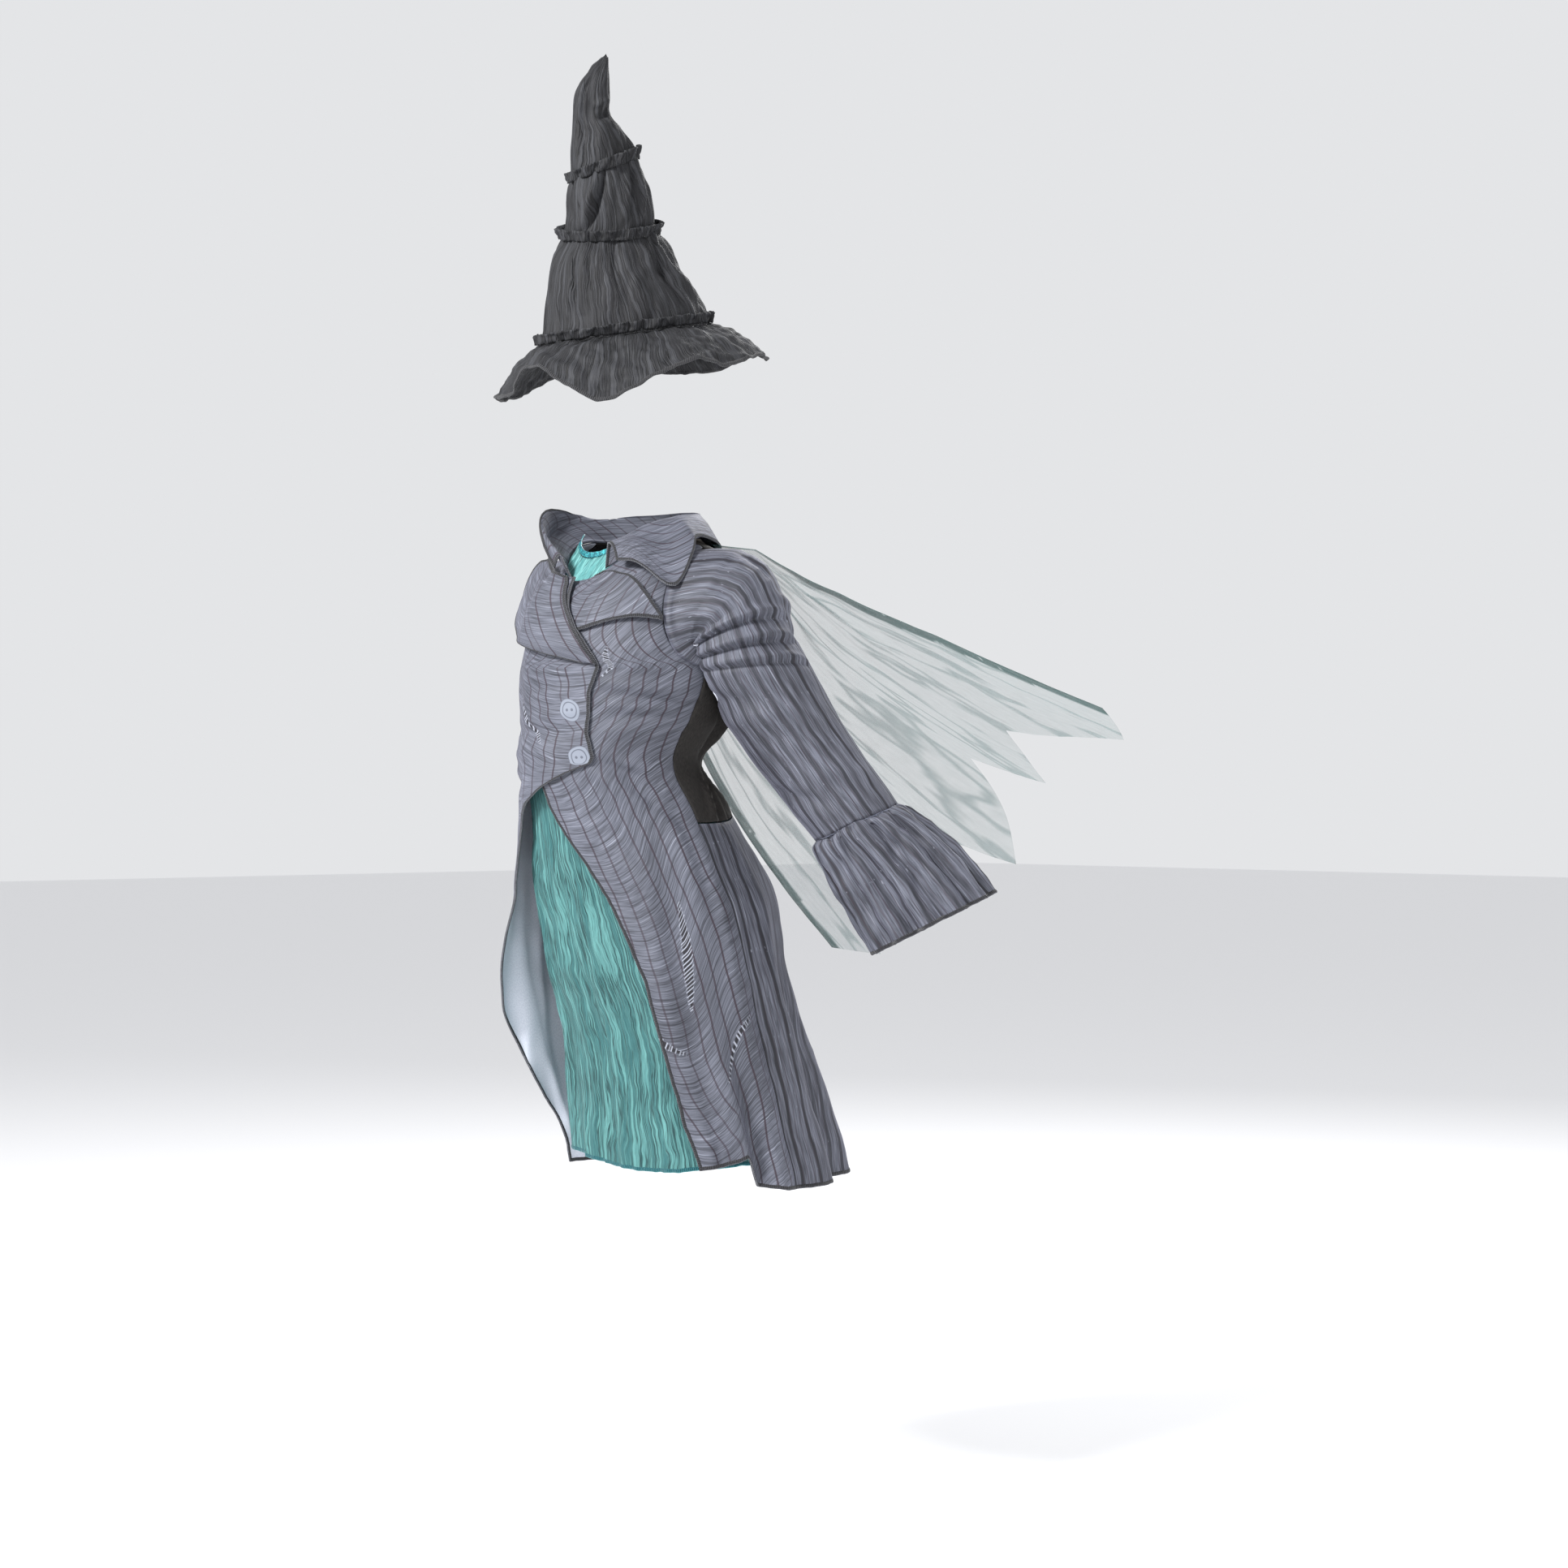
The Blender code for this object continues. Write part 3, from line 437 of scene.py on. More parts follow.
def overlocked(shell, sides, finish):
    """Bands of thread along some sides of a shell, as one piece."""
    bands = []
    for side in sides:
        points, inward, normals = spaced_evenly(edge_path(shell, side), EDGE_STEP)
        turns = np.linspace(0, 2 * math.pi, EDGE_SIDES + 1)
        wide = np.sign(np.cos(turns)) * np.abs(np.cos(turns)) ** EDGE_SQUARENESS * EDGE_WIDTH / 2
        thick = np.sin(turns) * EDGE_THICKNESS / 2
        uneven = np.array([noise.noise(Vector(point) * EDGE_WOBBLE_SCALE) for point in points])
        centres = points + inward * (EDGE_WIDTH / 2 - EDGE_OVERHANG)
        wobble = uneven[:, None, None] * EDGE_WOBBLE
        ring = centres[:, None] + inward[:, None] * (wide[None, :, None] + wobble)
        ring = ring + normals[:, None] * thick[None, :, None]
        along = arc_lengths(ring, 0)
        around = np.linspace(0, 1, EDGE_SIDES + 1)[None, :].repeat(len(points), axis=0)
        way = along.mean(axis=1, keepdims=True).repeat(EDGE_SIDES + 1, axis=1)
        bands.append(cloth_grid("band", ring, way, around, True, surface_normals(ring, True)[1]))
    joined = bmesh.new()
    for band in bands:
        joined.from_mesh(band.data)
        bpy.data.objects.remove(band)
    ends = [edge for edge in joined.edges if edge.is_boundary]
    bmesh.ops.holes_fill(joined, edges=ends, sides=EDGE_SIDES)
    mesh = bpy.data.meshes.new(shell.piece.name + "_edge")
    joined.to_mesh(mesh)
    joined.free()
    mesh.shade_smooth()
    mesh.materials.append(finish)
    edge = bpy.data.objects.new(mesh.name, mesh)
    bpy.context.scene.collection.objects.link(edge)
    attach(edge, "root")
    print(f"{edge.name}: {len(mesh.vertices)} points on {len(sides)} sides")


# %% [markdown]
# Materials are built from nodes. These few helpers add a node, do sums and mix colours, and turn a
# colour given in everyday 0 to 255 steps into the linear light that Blender works in.

# %% Helpers for nodes
def tint(red, green, blue):
    """A screen colour as linear light, by the sRGB standard's own curve."""
    steps = (red, green, blue)
    return (*(((c / 255 + 0.055) / 1.055) ** 2.4 if c > 10 else c / 255 / 12.92 for c in steps), 1)


def add_node(tree, kind, inputs=None, **settings):
    """A new node with its settings, its sockets set or joined."""
    made = tree.nodes.new("ShaderNode" + kind)
    for key, value in settings.items():
        setattr(made, key, value)
    for key, value in (inputs or {}).items():
        if isinstance(value, bpy.types.NodeSocket):
            tree.links.new(value, made.inputs[key])
        else:
            made.inputs[key].default_value = value
    return made


def calc(tree, operation, *values):
    return add_node(tree, "Math", dict(enumerate(values)), operation=operation).outputs[0]


def vector_calc(tree, operation, first, second):
    return add_node(tree, "VectorMath", {0: first, 1: second}, operation=operation).outputs[0]


def mixed(tree, share, first, second):
    return add_node(tree, "Mix", {0: share, 6: first, 7: second}, data_type="RGBA").outputs[2]


def rise(tree, value, low, high):
    """0 up to low and 1 from high on, or the other way round where low is the larger."""
    sockets = {0: value, 1: low, 2: high}
    return add_node(tree, "MapRange", sockets, interpolation_type="SMOOTHSTEP").outputs[0]


def cloth_map(tree):
    return add_node(tree, "UVMap", uv_map="cloth").outputs[0]


def new_group(name, inputs, outputs):
    """An empty node group with named sockets, its inputs and its outputs."""
    group = bpy.data.node_groups.new(name, "ShaderNodeTree")
    for label, value in inputs.items():
        kind = "Vector" if isinstance(value, tuple) else "Float"
        socket = group.interface.new_socket(label, in_out="INPUT", socket_type="NodeSocket" + kind)
        socket.default_value = value
    for label in outputs:
        group.interface.new_socket(label, in_out="OUTPUT", socket_type="NodeSocketFloat")
    return group, group.nodes.new("NodeGroupInput").outputs, group.nodes.new("NodeGroupOutput").inputs


def use_group(tree, group, **inputs):
    """A group placed in a material, with its sockets set by name."""
    made = tree.nodes.new("ShaderNodeGroup")
    made.node_tree = group
    for key, value in inputs.items():
        socket = made.inputs[key.replace("_", " ").capitalize()]
        if isinstance(value, bpy.types.NodeSocket):
            tree.links.new(value, socket)
        else:
            socket.default_value = value
    return made.outputs


# %% [markdown]
# Streaks are noise pulled out along one direction, which is what marled yarn, crinkled gauze and
# brushed cloth have in common. Creases are the thin lines where such noise crosses its middle value.

# %% Node group: streaks
streaks, group_in, group_out = new_group(
    "streaks", {"Cloth": (0.0, 0.0, 0.0), "Density": (60.0, 900.0, 0.0), "Detail": 3.0, "Shift": 0.0},
    ["Value", "Lines"],
)
do = partial(calc, streaks)
stretched = vector_calc(streaks, "MULTIPLY", group_in["Cloth"], group_in["Density"])
placed = add_node(streaks, "CombineXYZ", {"Z": group_in["Shift"]}).outputs[0]
pattern = add_node(
    streaks, "TexNoise",
    {"Vector": vector_calc(streaks, "ADD", stretched, placed), "Scale": 1.0, "Detail": group_in["Detail"]},
).outputs[0]
centred = do("ABSOLUTE", do("SUBTRACT", pattern, 0.5))
streaks.links.new(pattern, group_out["Value"])
streaks.links.new(rise(streaks, centred, 0.05, 0.0), group_out["Lines"])

# %% [markdown]
# A printed check or stripe is a row of thin lines. Each line sits a little off its even place and has
# its own strength, both from a random number for its cell, so that the print looks hand drawn.

# %% Node group: uneven lines
uneven_lines, group_in, group_out = new_group(
    "uneven lines", {"Across": 0.0, "Spacing": 0.015, "Width": 0.0008, "Shift": 0.0}, ["Mask"]
)
do = partial(calc, uneven_lines)
cells = do("ADD", do("DIVIDE", group_in["Across"], group_in["Spacing"]), group_in["Shift"])
cell = do("FLOOR", cells)
own_place = add_node(uneven_lines, "TexWhiteNoise", {"W": cell}, noise_dimensions="1D").outputs[0]
other_cell = do("ADD", cell, 0.37)
own_strength = add_node(uneven_lines, "TexWhiteNoise", {"W": other_cell}, noise_dimensions="1D").outputs[0]
middle = do("MULTIPLY_ADD", own_place, 0.5, 0.25)
from_middle = do("ABSOLUTE", do("SUBTRACT", do("FRACT", cells), middle))
from_line = do("MULTIPLY", from_middle, group_in["Spacing"])
soft_line = rise(uneven_lines, from_line, group_in["Width"], do("MULTIPLY", group_in["Width"], 0.35))
strength = do("MULTIPLY_ADD", own_strength, 0.5, 0.5)
uneven_lines.links.new(do("MULTIPLY", soft_line, strength), group_out["Mask"])

# %% [markdown]
# Close up, the print is on a fine twill. Its slanting ridges are a wave across the cloth, broken up
# by noise, and only raise the surface a little.

# %% Node group: twill
twill, group_in, group_out = new_group("twill", {"Cloth": (0.0, 0.0, 0.0), "Thread": 0.0012}, ["Height"])
parts = add_node(twill, "SeparateXYZ", {0: group_in["Cloth"]}).outputs
do = partial(calc, twill)
slant = do("MULTIPLY_ADD", parts[1], 0.7, parts[0])
phase = do("MULTIPLY", do("DIVIDE", slant, group_in["Thread"]), 2 * math.pi)
ridge = do("MULTIPLY_ADD", do("SINE", phase), 0.25, 0.5)
fuzz = add_node(twill, "TexNoise", {"Vector": group_in["Cloth"], "Scale": 1400.0, "Detail": 2.0}).outputs[0]
twill.links.new(do("ADD", ridge, fuzz), group_out["Height"])

# %% [markdown]
# Two plain motifs are printed on the coat: round buttons with two holes, and worn slits laced with
# short pale stitches. Both are drawn by distances from a centre on the cloth.

# %% Node groups: printed button and laced slit
printed_button, group_in, group_out = new_group(
    "printed button", {"Cloth": (0.0, 0.0, 0.0), "Centre": (0.0, 0.0, 0.0), "Radius": 0.013},
    ["Face", "Lines"],
)
do = partial(calc, printed_button)
away = vector_calc(printed_button, "SUBTRACT", group_in["Cloth"], group_in["Centre"])
local = add_node(printed_button, "SeparateXYZ", {0: away}).outputs
local_x = do("DIVIDE", local[0], group_in["Radius"])
local_y = do("DIVIDE", local[1], group_in["Radius"])
squares = do("MULTIPLY_ADD", local_x, local_x, do("MULTIPLY", local_y, local_y))
radius = do("SQRT", squares)
face = rise(printed_button, radius, 1.0, 0.94)
rings = [
    rise(printed_button, do("ABSOLUTE", do("SUBTRACT", radius, at)), 0.07, 0.02) for at in (0.97, 0.66)
]
hole_x = do("SUBTRACT", do("ABSOLUTE", local_x), 0.24)
hole_away = do("SQRT", do("MULTIPLY_ADD", hole_x, hole_x, do("MULTIPLY", local_y, local_y)))
holes = rise(printed_button, hole_away, 0.15, 0.09)
drawn = do("MAXIMUM", do("MAXIMUM", *rings), holes)
printed_button.links.new(face, group_out["Face"])
printed_button.links.new(do("MULTIPLY", drawn, 0.8), group_out["Lines"])

laced_slit, group_in, group_out = new_group(
    "laced slit",
    {
        "Cloth": (0.0, 0.0, 0.0), "Centre": (0.0, 0.0, 0.0), "Turn": 0.0,
        "Half length": 0.03, "Half width": 0.003,
    },
    ["Slit", "Stitches"],
)
do = partial(calc, laced_slit)
away = vector_calc(laced_slit, "SUBTRACT", group_in["Cloth"], group_in["Centre"])
turned = add_node(
    laced_slit, "VectorRotate", {"Vector": away, "Angle": group_in["Turn"]}, rotation_type="Z_AXIS"
)
local = add_node(laced_slit, "SeparateXYZ", {0: turned.outputs[0]}).outputs
rough = add_node(
    laced_slit, "TexNoise", {"Vector": group_in["Cloth"], "Scale": 260.0, "Detail": 3.0}
).outputs[0]
bent = do("MULTIPLY_ADD", rough, 0.005, local[1])
from_slit = do("ABSOLUTE", do("SUBTRACT", bent, 0.0025))
part_way = do("DIVIDE", local[0], group_in["Half length"])
taper = do("SUBTRACT", 1.0, do("MULTIPLY", part_way, part_way))
half_here = do("MULTIPLY", do("MAXIMUM", taper, 0.0), group_in["Half width"])
slit = rise(laced_slit, do("SUBTRACT", from_slit, half_here), 0.0004, -0.0003)
inside_ends = rise(laced_slit, do("ABSOLUTE", part_way), 1.04, 0.98)
stitch_lines = use_group(laced_slit, uneven_lines, across=local[0], spacing=0.0036, width=0.0009)[0]
reach = do("ADD", half_here, 0.0018)
near_slit = rise(laced_slit, do("SUBTRACT", from_slit, reach), 0.0003, -0.0006)
stitches = do("MULTIPLY", do("MULTIPLY", stitch_lines, near_slit), inside_ends)
laced_slit.links.new(do("MULTIPLY", slit, inside_ends), group_out["Slit"])
laced_slit.links.new(stitches, group_out["Stitches"])

# %% [markdown]
# The coat's cloth is a grey satin with a printed mauve and charcoal check and marled streaks. The
# fronts have streaks across them; the sleeves, cuffs and back are stripes with the yarn along them.

# %% Printed cloth
BASE_DARK = tint(54, 56, 64)
BASE_LIGHT = tint(116, 119, 132)
PALE_STREAK = tint(158, 162, 176)
MAUVE_LINE = tint(50, 38, 47)
CHARCOAL_LINE = tint(30, 30, 36)
BUTTON_FACE = tint(128, 134, 146)
BUTTON_LINE = tint(70, 74, 86)
SLIT_INSIDE = tint(34, 33, 39)
STITCH_PALE = tint(158, 162, 174)
Print = namedtuple("Print", "motif x y turn half_length half_width")


def cloth_material(name, roughness, sheen=0.0, sheen_tint=(1, 1, 1, 1), specular=0.5):
    """A new material, its node tree and its shader."""
    material = bpy.data.materials.new(name)
    material.use_nodes = True
    shader = material.node_tree.nodes["Principled BSDF"]
    shader.inputs["Roughness"].default_value = roughness
    shader.inputs["Sheen Weight"].default_value = sheen
    shader.inputs["Sheen Roughness"].default_value = 0.4
    shader.inputs["Sheen Tint"].default_value = sheen_tint
    shader.inputs["Specular IOR Level"].default_value = specular
    return material, material.node_tree, shader


def bumped(tree, shader, height, strength, distance):
    """Joins a height to the shader's normal."""
    bump = add_node(tree, "Bump", {"Height": height, "Strength": strength, "Distance": distance})
    tree.links.new(bump.outputs[0], shader.inputs["Normal"])


def printed_colour(tree, cloth, colour, motif):
    """The colour with one printed motif on it."""
    centre = (motif.x, motif.y, 0.0)
    if motif.motif == "button":
        made = use_group(tree, printed_button, cloth=cloth, centre=centre, radius=motif.half_length)
        face = mixed(tree, made[1], BUTTON_FACE, BUTTON_LINE)
        return mixed(tree, made[0], colour, face)
    made = use_group(
        tree, laced_slit, cloth=cloth, centre=centre, turn=motif.turn,
        half_length=motif.half_length, half_width=motif.half_width,
    )
    return mixed(tree, made[1], mixed(tree, made[0], colour, SLIT_INSIDE), STITCH_PALE)


def printed_cloth(name, lengthwise, prints=()):
    """The coat's printed satin, streaked across its length or along it."""
    material, tree, shader = cloth_material(name, 0.62, 0.18, tint(190, 190, 215), 0.35)
    cloth = cloth_map(tree)
    parts = add_node(tree, "SeparateXYZ", {0: cloth}).outputs
    drift = add_node(tree, "TexNoise", {"Vector": cloth, "Scale": 9.0, "Detail": 2.0}).outputs[0]
    wander = calc(tree, "MULTIPLY", drift, 0.016 if lengthwise else 0.008)
    across = calc(tree, "ADD", parts[0], wander)
    along = calc(tree, "ADD", parts[1], wander)
    marled = (700.0, 34.0, 0.0) if lengthwise else (34.0, 700.0, 0.0)
    streaked = (420.0, 14.0, 0.0) if lengthwise else (14.0, 420.0, 0.0)
    fine = use_group(tree, streaks, cloth=cloth, density=marled, detail=4.0)
    broad = use_group(tree, streaks, cloth=cloth, density=streaked, detail=2.0, shift=7.0)
    tone = calc(tree, "MULTIPLY_ADD", calc(tree, "SUBTRACT", fine[0], 0.5), 1.7, 0.47)
    tone = calc(tree, "ADD", tone, calc(tree, "MULTIPLY", calc(tree, "SUBTRACT", drift, 0.5), 0.7))
    colour = mixed(tree, rise(tree, tone, 0.0, 1.0), BASE_DARK, BASE_LIGHT)
    pale = calc(tree, "MULTIPLY", rise(tree, broad[0], 0.62, 0.74), 0.62)
    colour = mixed(tree, pale, colour, PALE_STREAK)
    if lengthwise:
        wide = use_group(tree, uneven_lines, across=across, spacing=0.0155, width=0.0032)[0]
        thin = use_group(tree, uneven_lines, across=across, spacing=0.0068, width=0.0009, shift=3.5)[0]
        flecks = use_group(tree, streaks, cloth=cloth, density=(310.0, 120.0, 0.0), shift=3.0)[0]
        group_of_flecks = use_group(tree, uneven_lines, across=along, spacing=0.055, width=0.012)[0]
        colour = mixed(tree, calc(tree, "MULTIPLY", wide, 0.95), colour, CHARCOAL_LINE)
        colour = mixed(tree, calc(tree, "MULTIPLY", thin, 0.6), colour, MAUVE_LINE)
        fleck = calc(tree, "MULTIPLY", rise(tree, flecks, 0.64, 0.72), group_of_flecks)
        colour = mixed(tree, calc(tree, "MULTIPLY", fleck, 0.55), colour, PALE_STREAK)
    else:
        upright = use_group(tree, uneven_lines, across=across, spacing=0.0165, width=0.0015)[0]
        cross = use_group(tree, uneven_lines, across=along, spacing=0.0145, width=0.0012, shift=4.5)[0]
        colour = mixed(tree, calc(tree, "MULTIPLY", upright, 0.9), colour, MAUVE_LINE)
        colour = mixed(tree, calc(tree, "MULTIPLY", cross, 0.55), colour, CHARCOAL_LINE)
    for motif in prints:
        colour = printed_colour(tree, cloth, colour, motif)
    tree.links.new(colour, shader.inputs["Base Color"])
    height = calc(tree, "ADD", use_group(tree, twill, cloth=cloth)[0], calc(tree, "MULTIPLY", fine[0], 0.8))
    bumped(tree, shader, height, 0.35, 0.0004)
    return material


# %% [markdown]
# The other cloths: the print's pale wrong side, matt black stretch, teal and charcoal crinkle, the
# glittering trim, the overlock threads and the sheer. Crinkle is streaks along the cloth, with its
# thin creases darkened as well as raised, because light hardly reaches into them.

# %% Other cloths
def wrong_side():
    material, tree, shader = cloth_material("wrong side", 0.7, 0.1)
    cloth = cloth_map(tree)
    grain = use_group(tree, streaks, cloth=cloth, density=(900.0, 500.0, 0.0))[0]
    colour = mixed(tree, rise(tree, grain, 0.3, 0.7), tint(206, 210, 224), tint(226, 229, 240))
    tree.links.new(colour, shader.inputs["Base Color"])
    bumped(tree, shader, grain, 0.2, 0.0003)
    return material


def black_stretch():
    material, tree, shader = cloth_material("black stretch", 0.75, 0.25, tint(120, 115, 110), 0.3)
    cloth = cloth_map(tree)
    rib = use_group(tree, streaks, cloth=cloth, density=(1300.0, 220.0, 0.0))[0]
    colour = mixed(tree, rise(tree, rib, 0.3, 0.7), tint(24, 22, 21), tint(44, 41, 39))
    tree.links.new(colour, shader.inputs["Base Color"])
    bumped(tree, shader, rib, 0.25, 0.0003)
    return material


def crinkled(name, colours, density, sheen, depth, roughness=0.7):
    """Crinkled gauze: dark creases, a middle tone and lit ridges."""
    crease, middle_tone, lit = colours
    material, tree, shader = cloth_material(name, roughness, sheen, lit, 0.35)
    cloth = cloth_map(tree)
    drift = add_node(tree, "TexNoise", {"Vector": cloth, "Scale": 16.0, "Detail": 3.0}).outputs[0]
    aside = add_node(tree, "CombineXYZ", {"X": calc(tree, "MULTIPLY", drift, 0.02)}).outputs[0]
    bent = vector_calc(tree, "ADD", cloth, aside)
    large = use_group(tree, streaks, cloth=bent, density=density, detail=2.0)
    small = use_group(tree, streaks, cloth=bent, density=tuple(2.6 * d for d in density), shift=5.0)
    swell = calc(tree, "ADD", large[0], calc(tree, "MULTIPLY", small[0], 0.5))
    colour = mixed(tree, rise(tree, swell, 0.5, 1.0), middle_tone, lit)
    large_lines = calc(tree, "MULTIPLY", large[1], 0.8)
    darkened = calc(tree, "MAXIMUM", large_lines, calc(tree, "MULTIPLY", small[1], 0.4))
    tree.links.new(mixed(tree, darkened, colour, crease), shader.inputs["Base Color"])
    height = calc(tree, "SUBTRACT", swell, calc(tree, "MULTIPLY", large[1], 0.25))
    bumped(tree, shader, height, 0.8, depth)
    return material


def glitter_trim():
    material, tree, shader = cloth_material("glitter trim", 0.35, 0.2)
    cloth = cloth_map(tree)
    specks = add_node(tree, "TexVoronoi", {"Vector": cloth, "Scale": 900.0}).outputs
    value = add_node(tree, "SeparateColor", {0: specks["Color"]}).outputs[0]
    colour = mixed(tree, rise(tree, value, 0.55, 0.95), tint(0, 92, 104), tint(90, 215, 220))
    tree.links.new(colour, shader.inputs["Base Color"])
    tree.links.new(calc(tree, "MULTIPLY", rise(tree, value, 0.7, 0.9), 0.7), shader.inputs["Metallic"])
    bumped(tree, shader, value, 0.7, 0.0006)
    return material


def overlock_thread(name, dark, pale, loops):
    """Threads across the edge with painted shade between them, and pale loops along its outer side."""
    material, tree, shader = cloth_material(name, 0.8, 0.15)
    parts = add_node(tree, "SeparateXYZ", {0: cloth_map(tree)}).outputs
    slant = calc(tree, "MULTIPLY_ADD", parts[1], 0.004, parts[0])
    phase = calc(tree, "MULTIPLY", slant, 2 * math.pi / 0.0021)
    ridge = calc(tree, "MULTIPLY_ADD", calc(tree, "SINE", phase), 0.5, 0.5)
    spots = add_node(tree, "TexNoise", {"Vector": cloth_map(tree), "Scale": 260.0, "Detail": 2.0}).outputs[0]
    outer = rise(tree, calc(tree, "ABSOLUTE", calc(tree, "SUBTRACT", parts[1], 0.5)), 0.24, 0.04)
    loop_mask = calc(tree, "MULTIPLY", calc(tree, "MULTIPLY", outer, rise(tree, spots, 0.44, 0.6)), loops)
    fleck = calc(tree, "MULTIPLY", rise(tree, spots, 0.6, 0.68), 0.4 * loops)
    # Painted shade: the grooves between the thread wraps are darkened to 0.55 of the thread colour.
    colour = mixed(tree, ridge, tuple(c * 0.55 for c in dark[:3]) + (1,), dark)
    colour = mixed(tree, calc(tree, "MAXIMUM", loop_mask, fleck), colour, pale)
    tree.links.new(colour, shader.inputs["Base Color"])
    bumped(tree, shader, ridge, 0.8, 0.0008)
    return material


def sheer():
    """Thin crinkled gauze: mostly see-through, denser in its creases and along its doubled edges."""
    material, tree, shader = cloth_material("sheer", 0.6, 0.0)
    cloth = cloth_map(tree)
    fibres = use_group(tree, streaks, cloth=cloth, density=(260.0, 40.0, 0.0), detail=4.0)
    soft = use_group(tree, streaks, cloth=cloth, density=(34.0, 3.5, 0.0), detail=3.0, shift=4.0)
    doubled = add_node(tree, "Attribute", attribute_name="doubled").outputs["Fac"]
    colour = mixed(tree, doubled, tint(104, 134, 134), tint(40, 84, 82))
    thin = calc(tree, "ADD", 0.07, calc(tree, "MULTIPLY", fibres[0], 0.12))
    thin = calc(tree, "ADD", thin, calc(tree, "MULTIPLY", soft[1], 0.22))
    thick = calc(tree, "MULTIPLY_ADD", fibres[0], 0.5, 0.34)
    alpha = add_node(tree, "Mix", {0: doubled, 2: thin, 3: thick}, data_type="FLOAT").outputs[0]
    tree.links.new(colour, shader.inputs["Base Color"])
    tree.links.new(alpha, shader.inputs["Alpha"])
    bumped(tree, shader, fibres[0], 0.4, 0.0005)
    return material


PRINTS_LEFT = (
    Print("slit", -0.085, 0.130, 0.5, 0.024, 0.0030),
    Print("slit", -0.070, 0.455, 1.35, 0.046, 0.0052),
    Print("slit", -0.125, 0.520, -0.5, 0.030, 0.0030),
    Print("slit", -0.040, 0.585, 0.3, 0.026, 0.0028),
)
PRINTS_RIGHT = (
    Print("button", -0.205, 0.165, 0.0, 0.0125, 0.0),
    Print("button", -0.205, 0.215, 0.0, 0.0125, 0.0),
    Print("slit", -0.135, 0.190, 0.7, 0.026, 0.0028),
    Print("slit", -0.110, 0.330, -0.9, 0.024, 0.0026),
)
coat_left = printed_cloth("coat cloth left", False, PRINTS_LEFT)
coat_right = printed_cloth("coat cloth right", False, PRINTS_RIGHT)
coat_plain = printed_cloth("coat cloth", False)
striped = printed_cloth("striped cloth", True)
pale_back = wrong_side()
stretch = black_stretch()
teal = crinkled("teal crinkle", (tint(8, 38, 42), tint(48, 98, 100), tint(96, 150, 148)),
                (260.0, 9.0, 0.0), 0.15, 0.0026, 0.6)
light_teal = crinkled("light teal crinkle", (tint(28, 86, 88), tint(76, 140, 140), tint(122, 182, 180)),
                      (160.0, 20.0, 0.0), 0.15, 0.0018, 0.6)
charcoal = crinkled("hat cloth", (tint(6, 6, 7), tint(27, 27, 30), tint(56, 57, 61)),
                    (210.0, 9.0, 0.0), 0.25, 0.0026)
trim = glitter_trim()
dark_thread = overlock_thread("dark overlock", tint(40, 40, 44), tint(160, 162, 172), 0.7)
black_thread = overlock_thread("black overlock", tint(46, 46, 49), tint(90, 90, 94), 0.5)
teal_thread = overlock_thread("teal overlock", tint(20, 96, 104), tint(120, 215, 218), 1.0)
gauze = sheer()

# %% [markdown]
# The coat's creases are listed once for the whole body, in degrees round it and metres down it, so
# that a crease carries on across a seam. They drag from the closure to the sides, gather at the
# waist, and hang in long soft folds down the skirt.

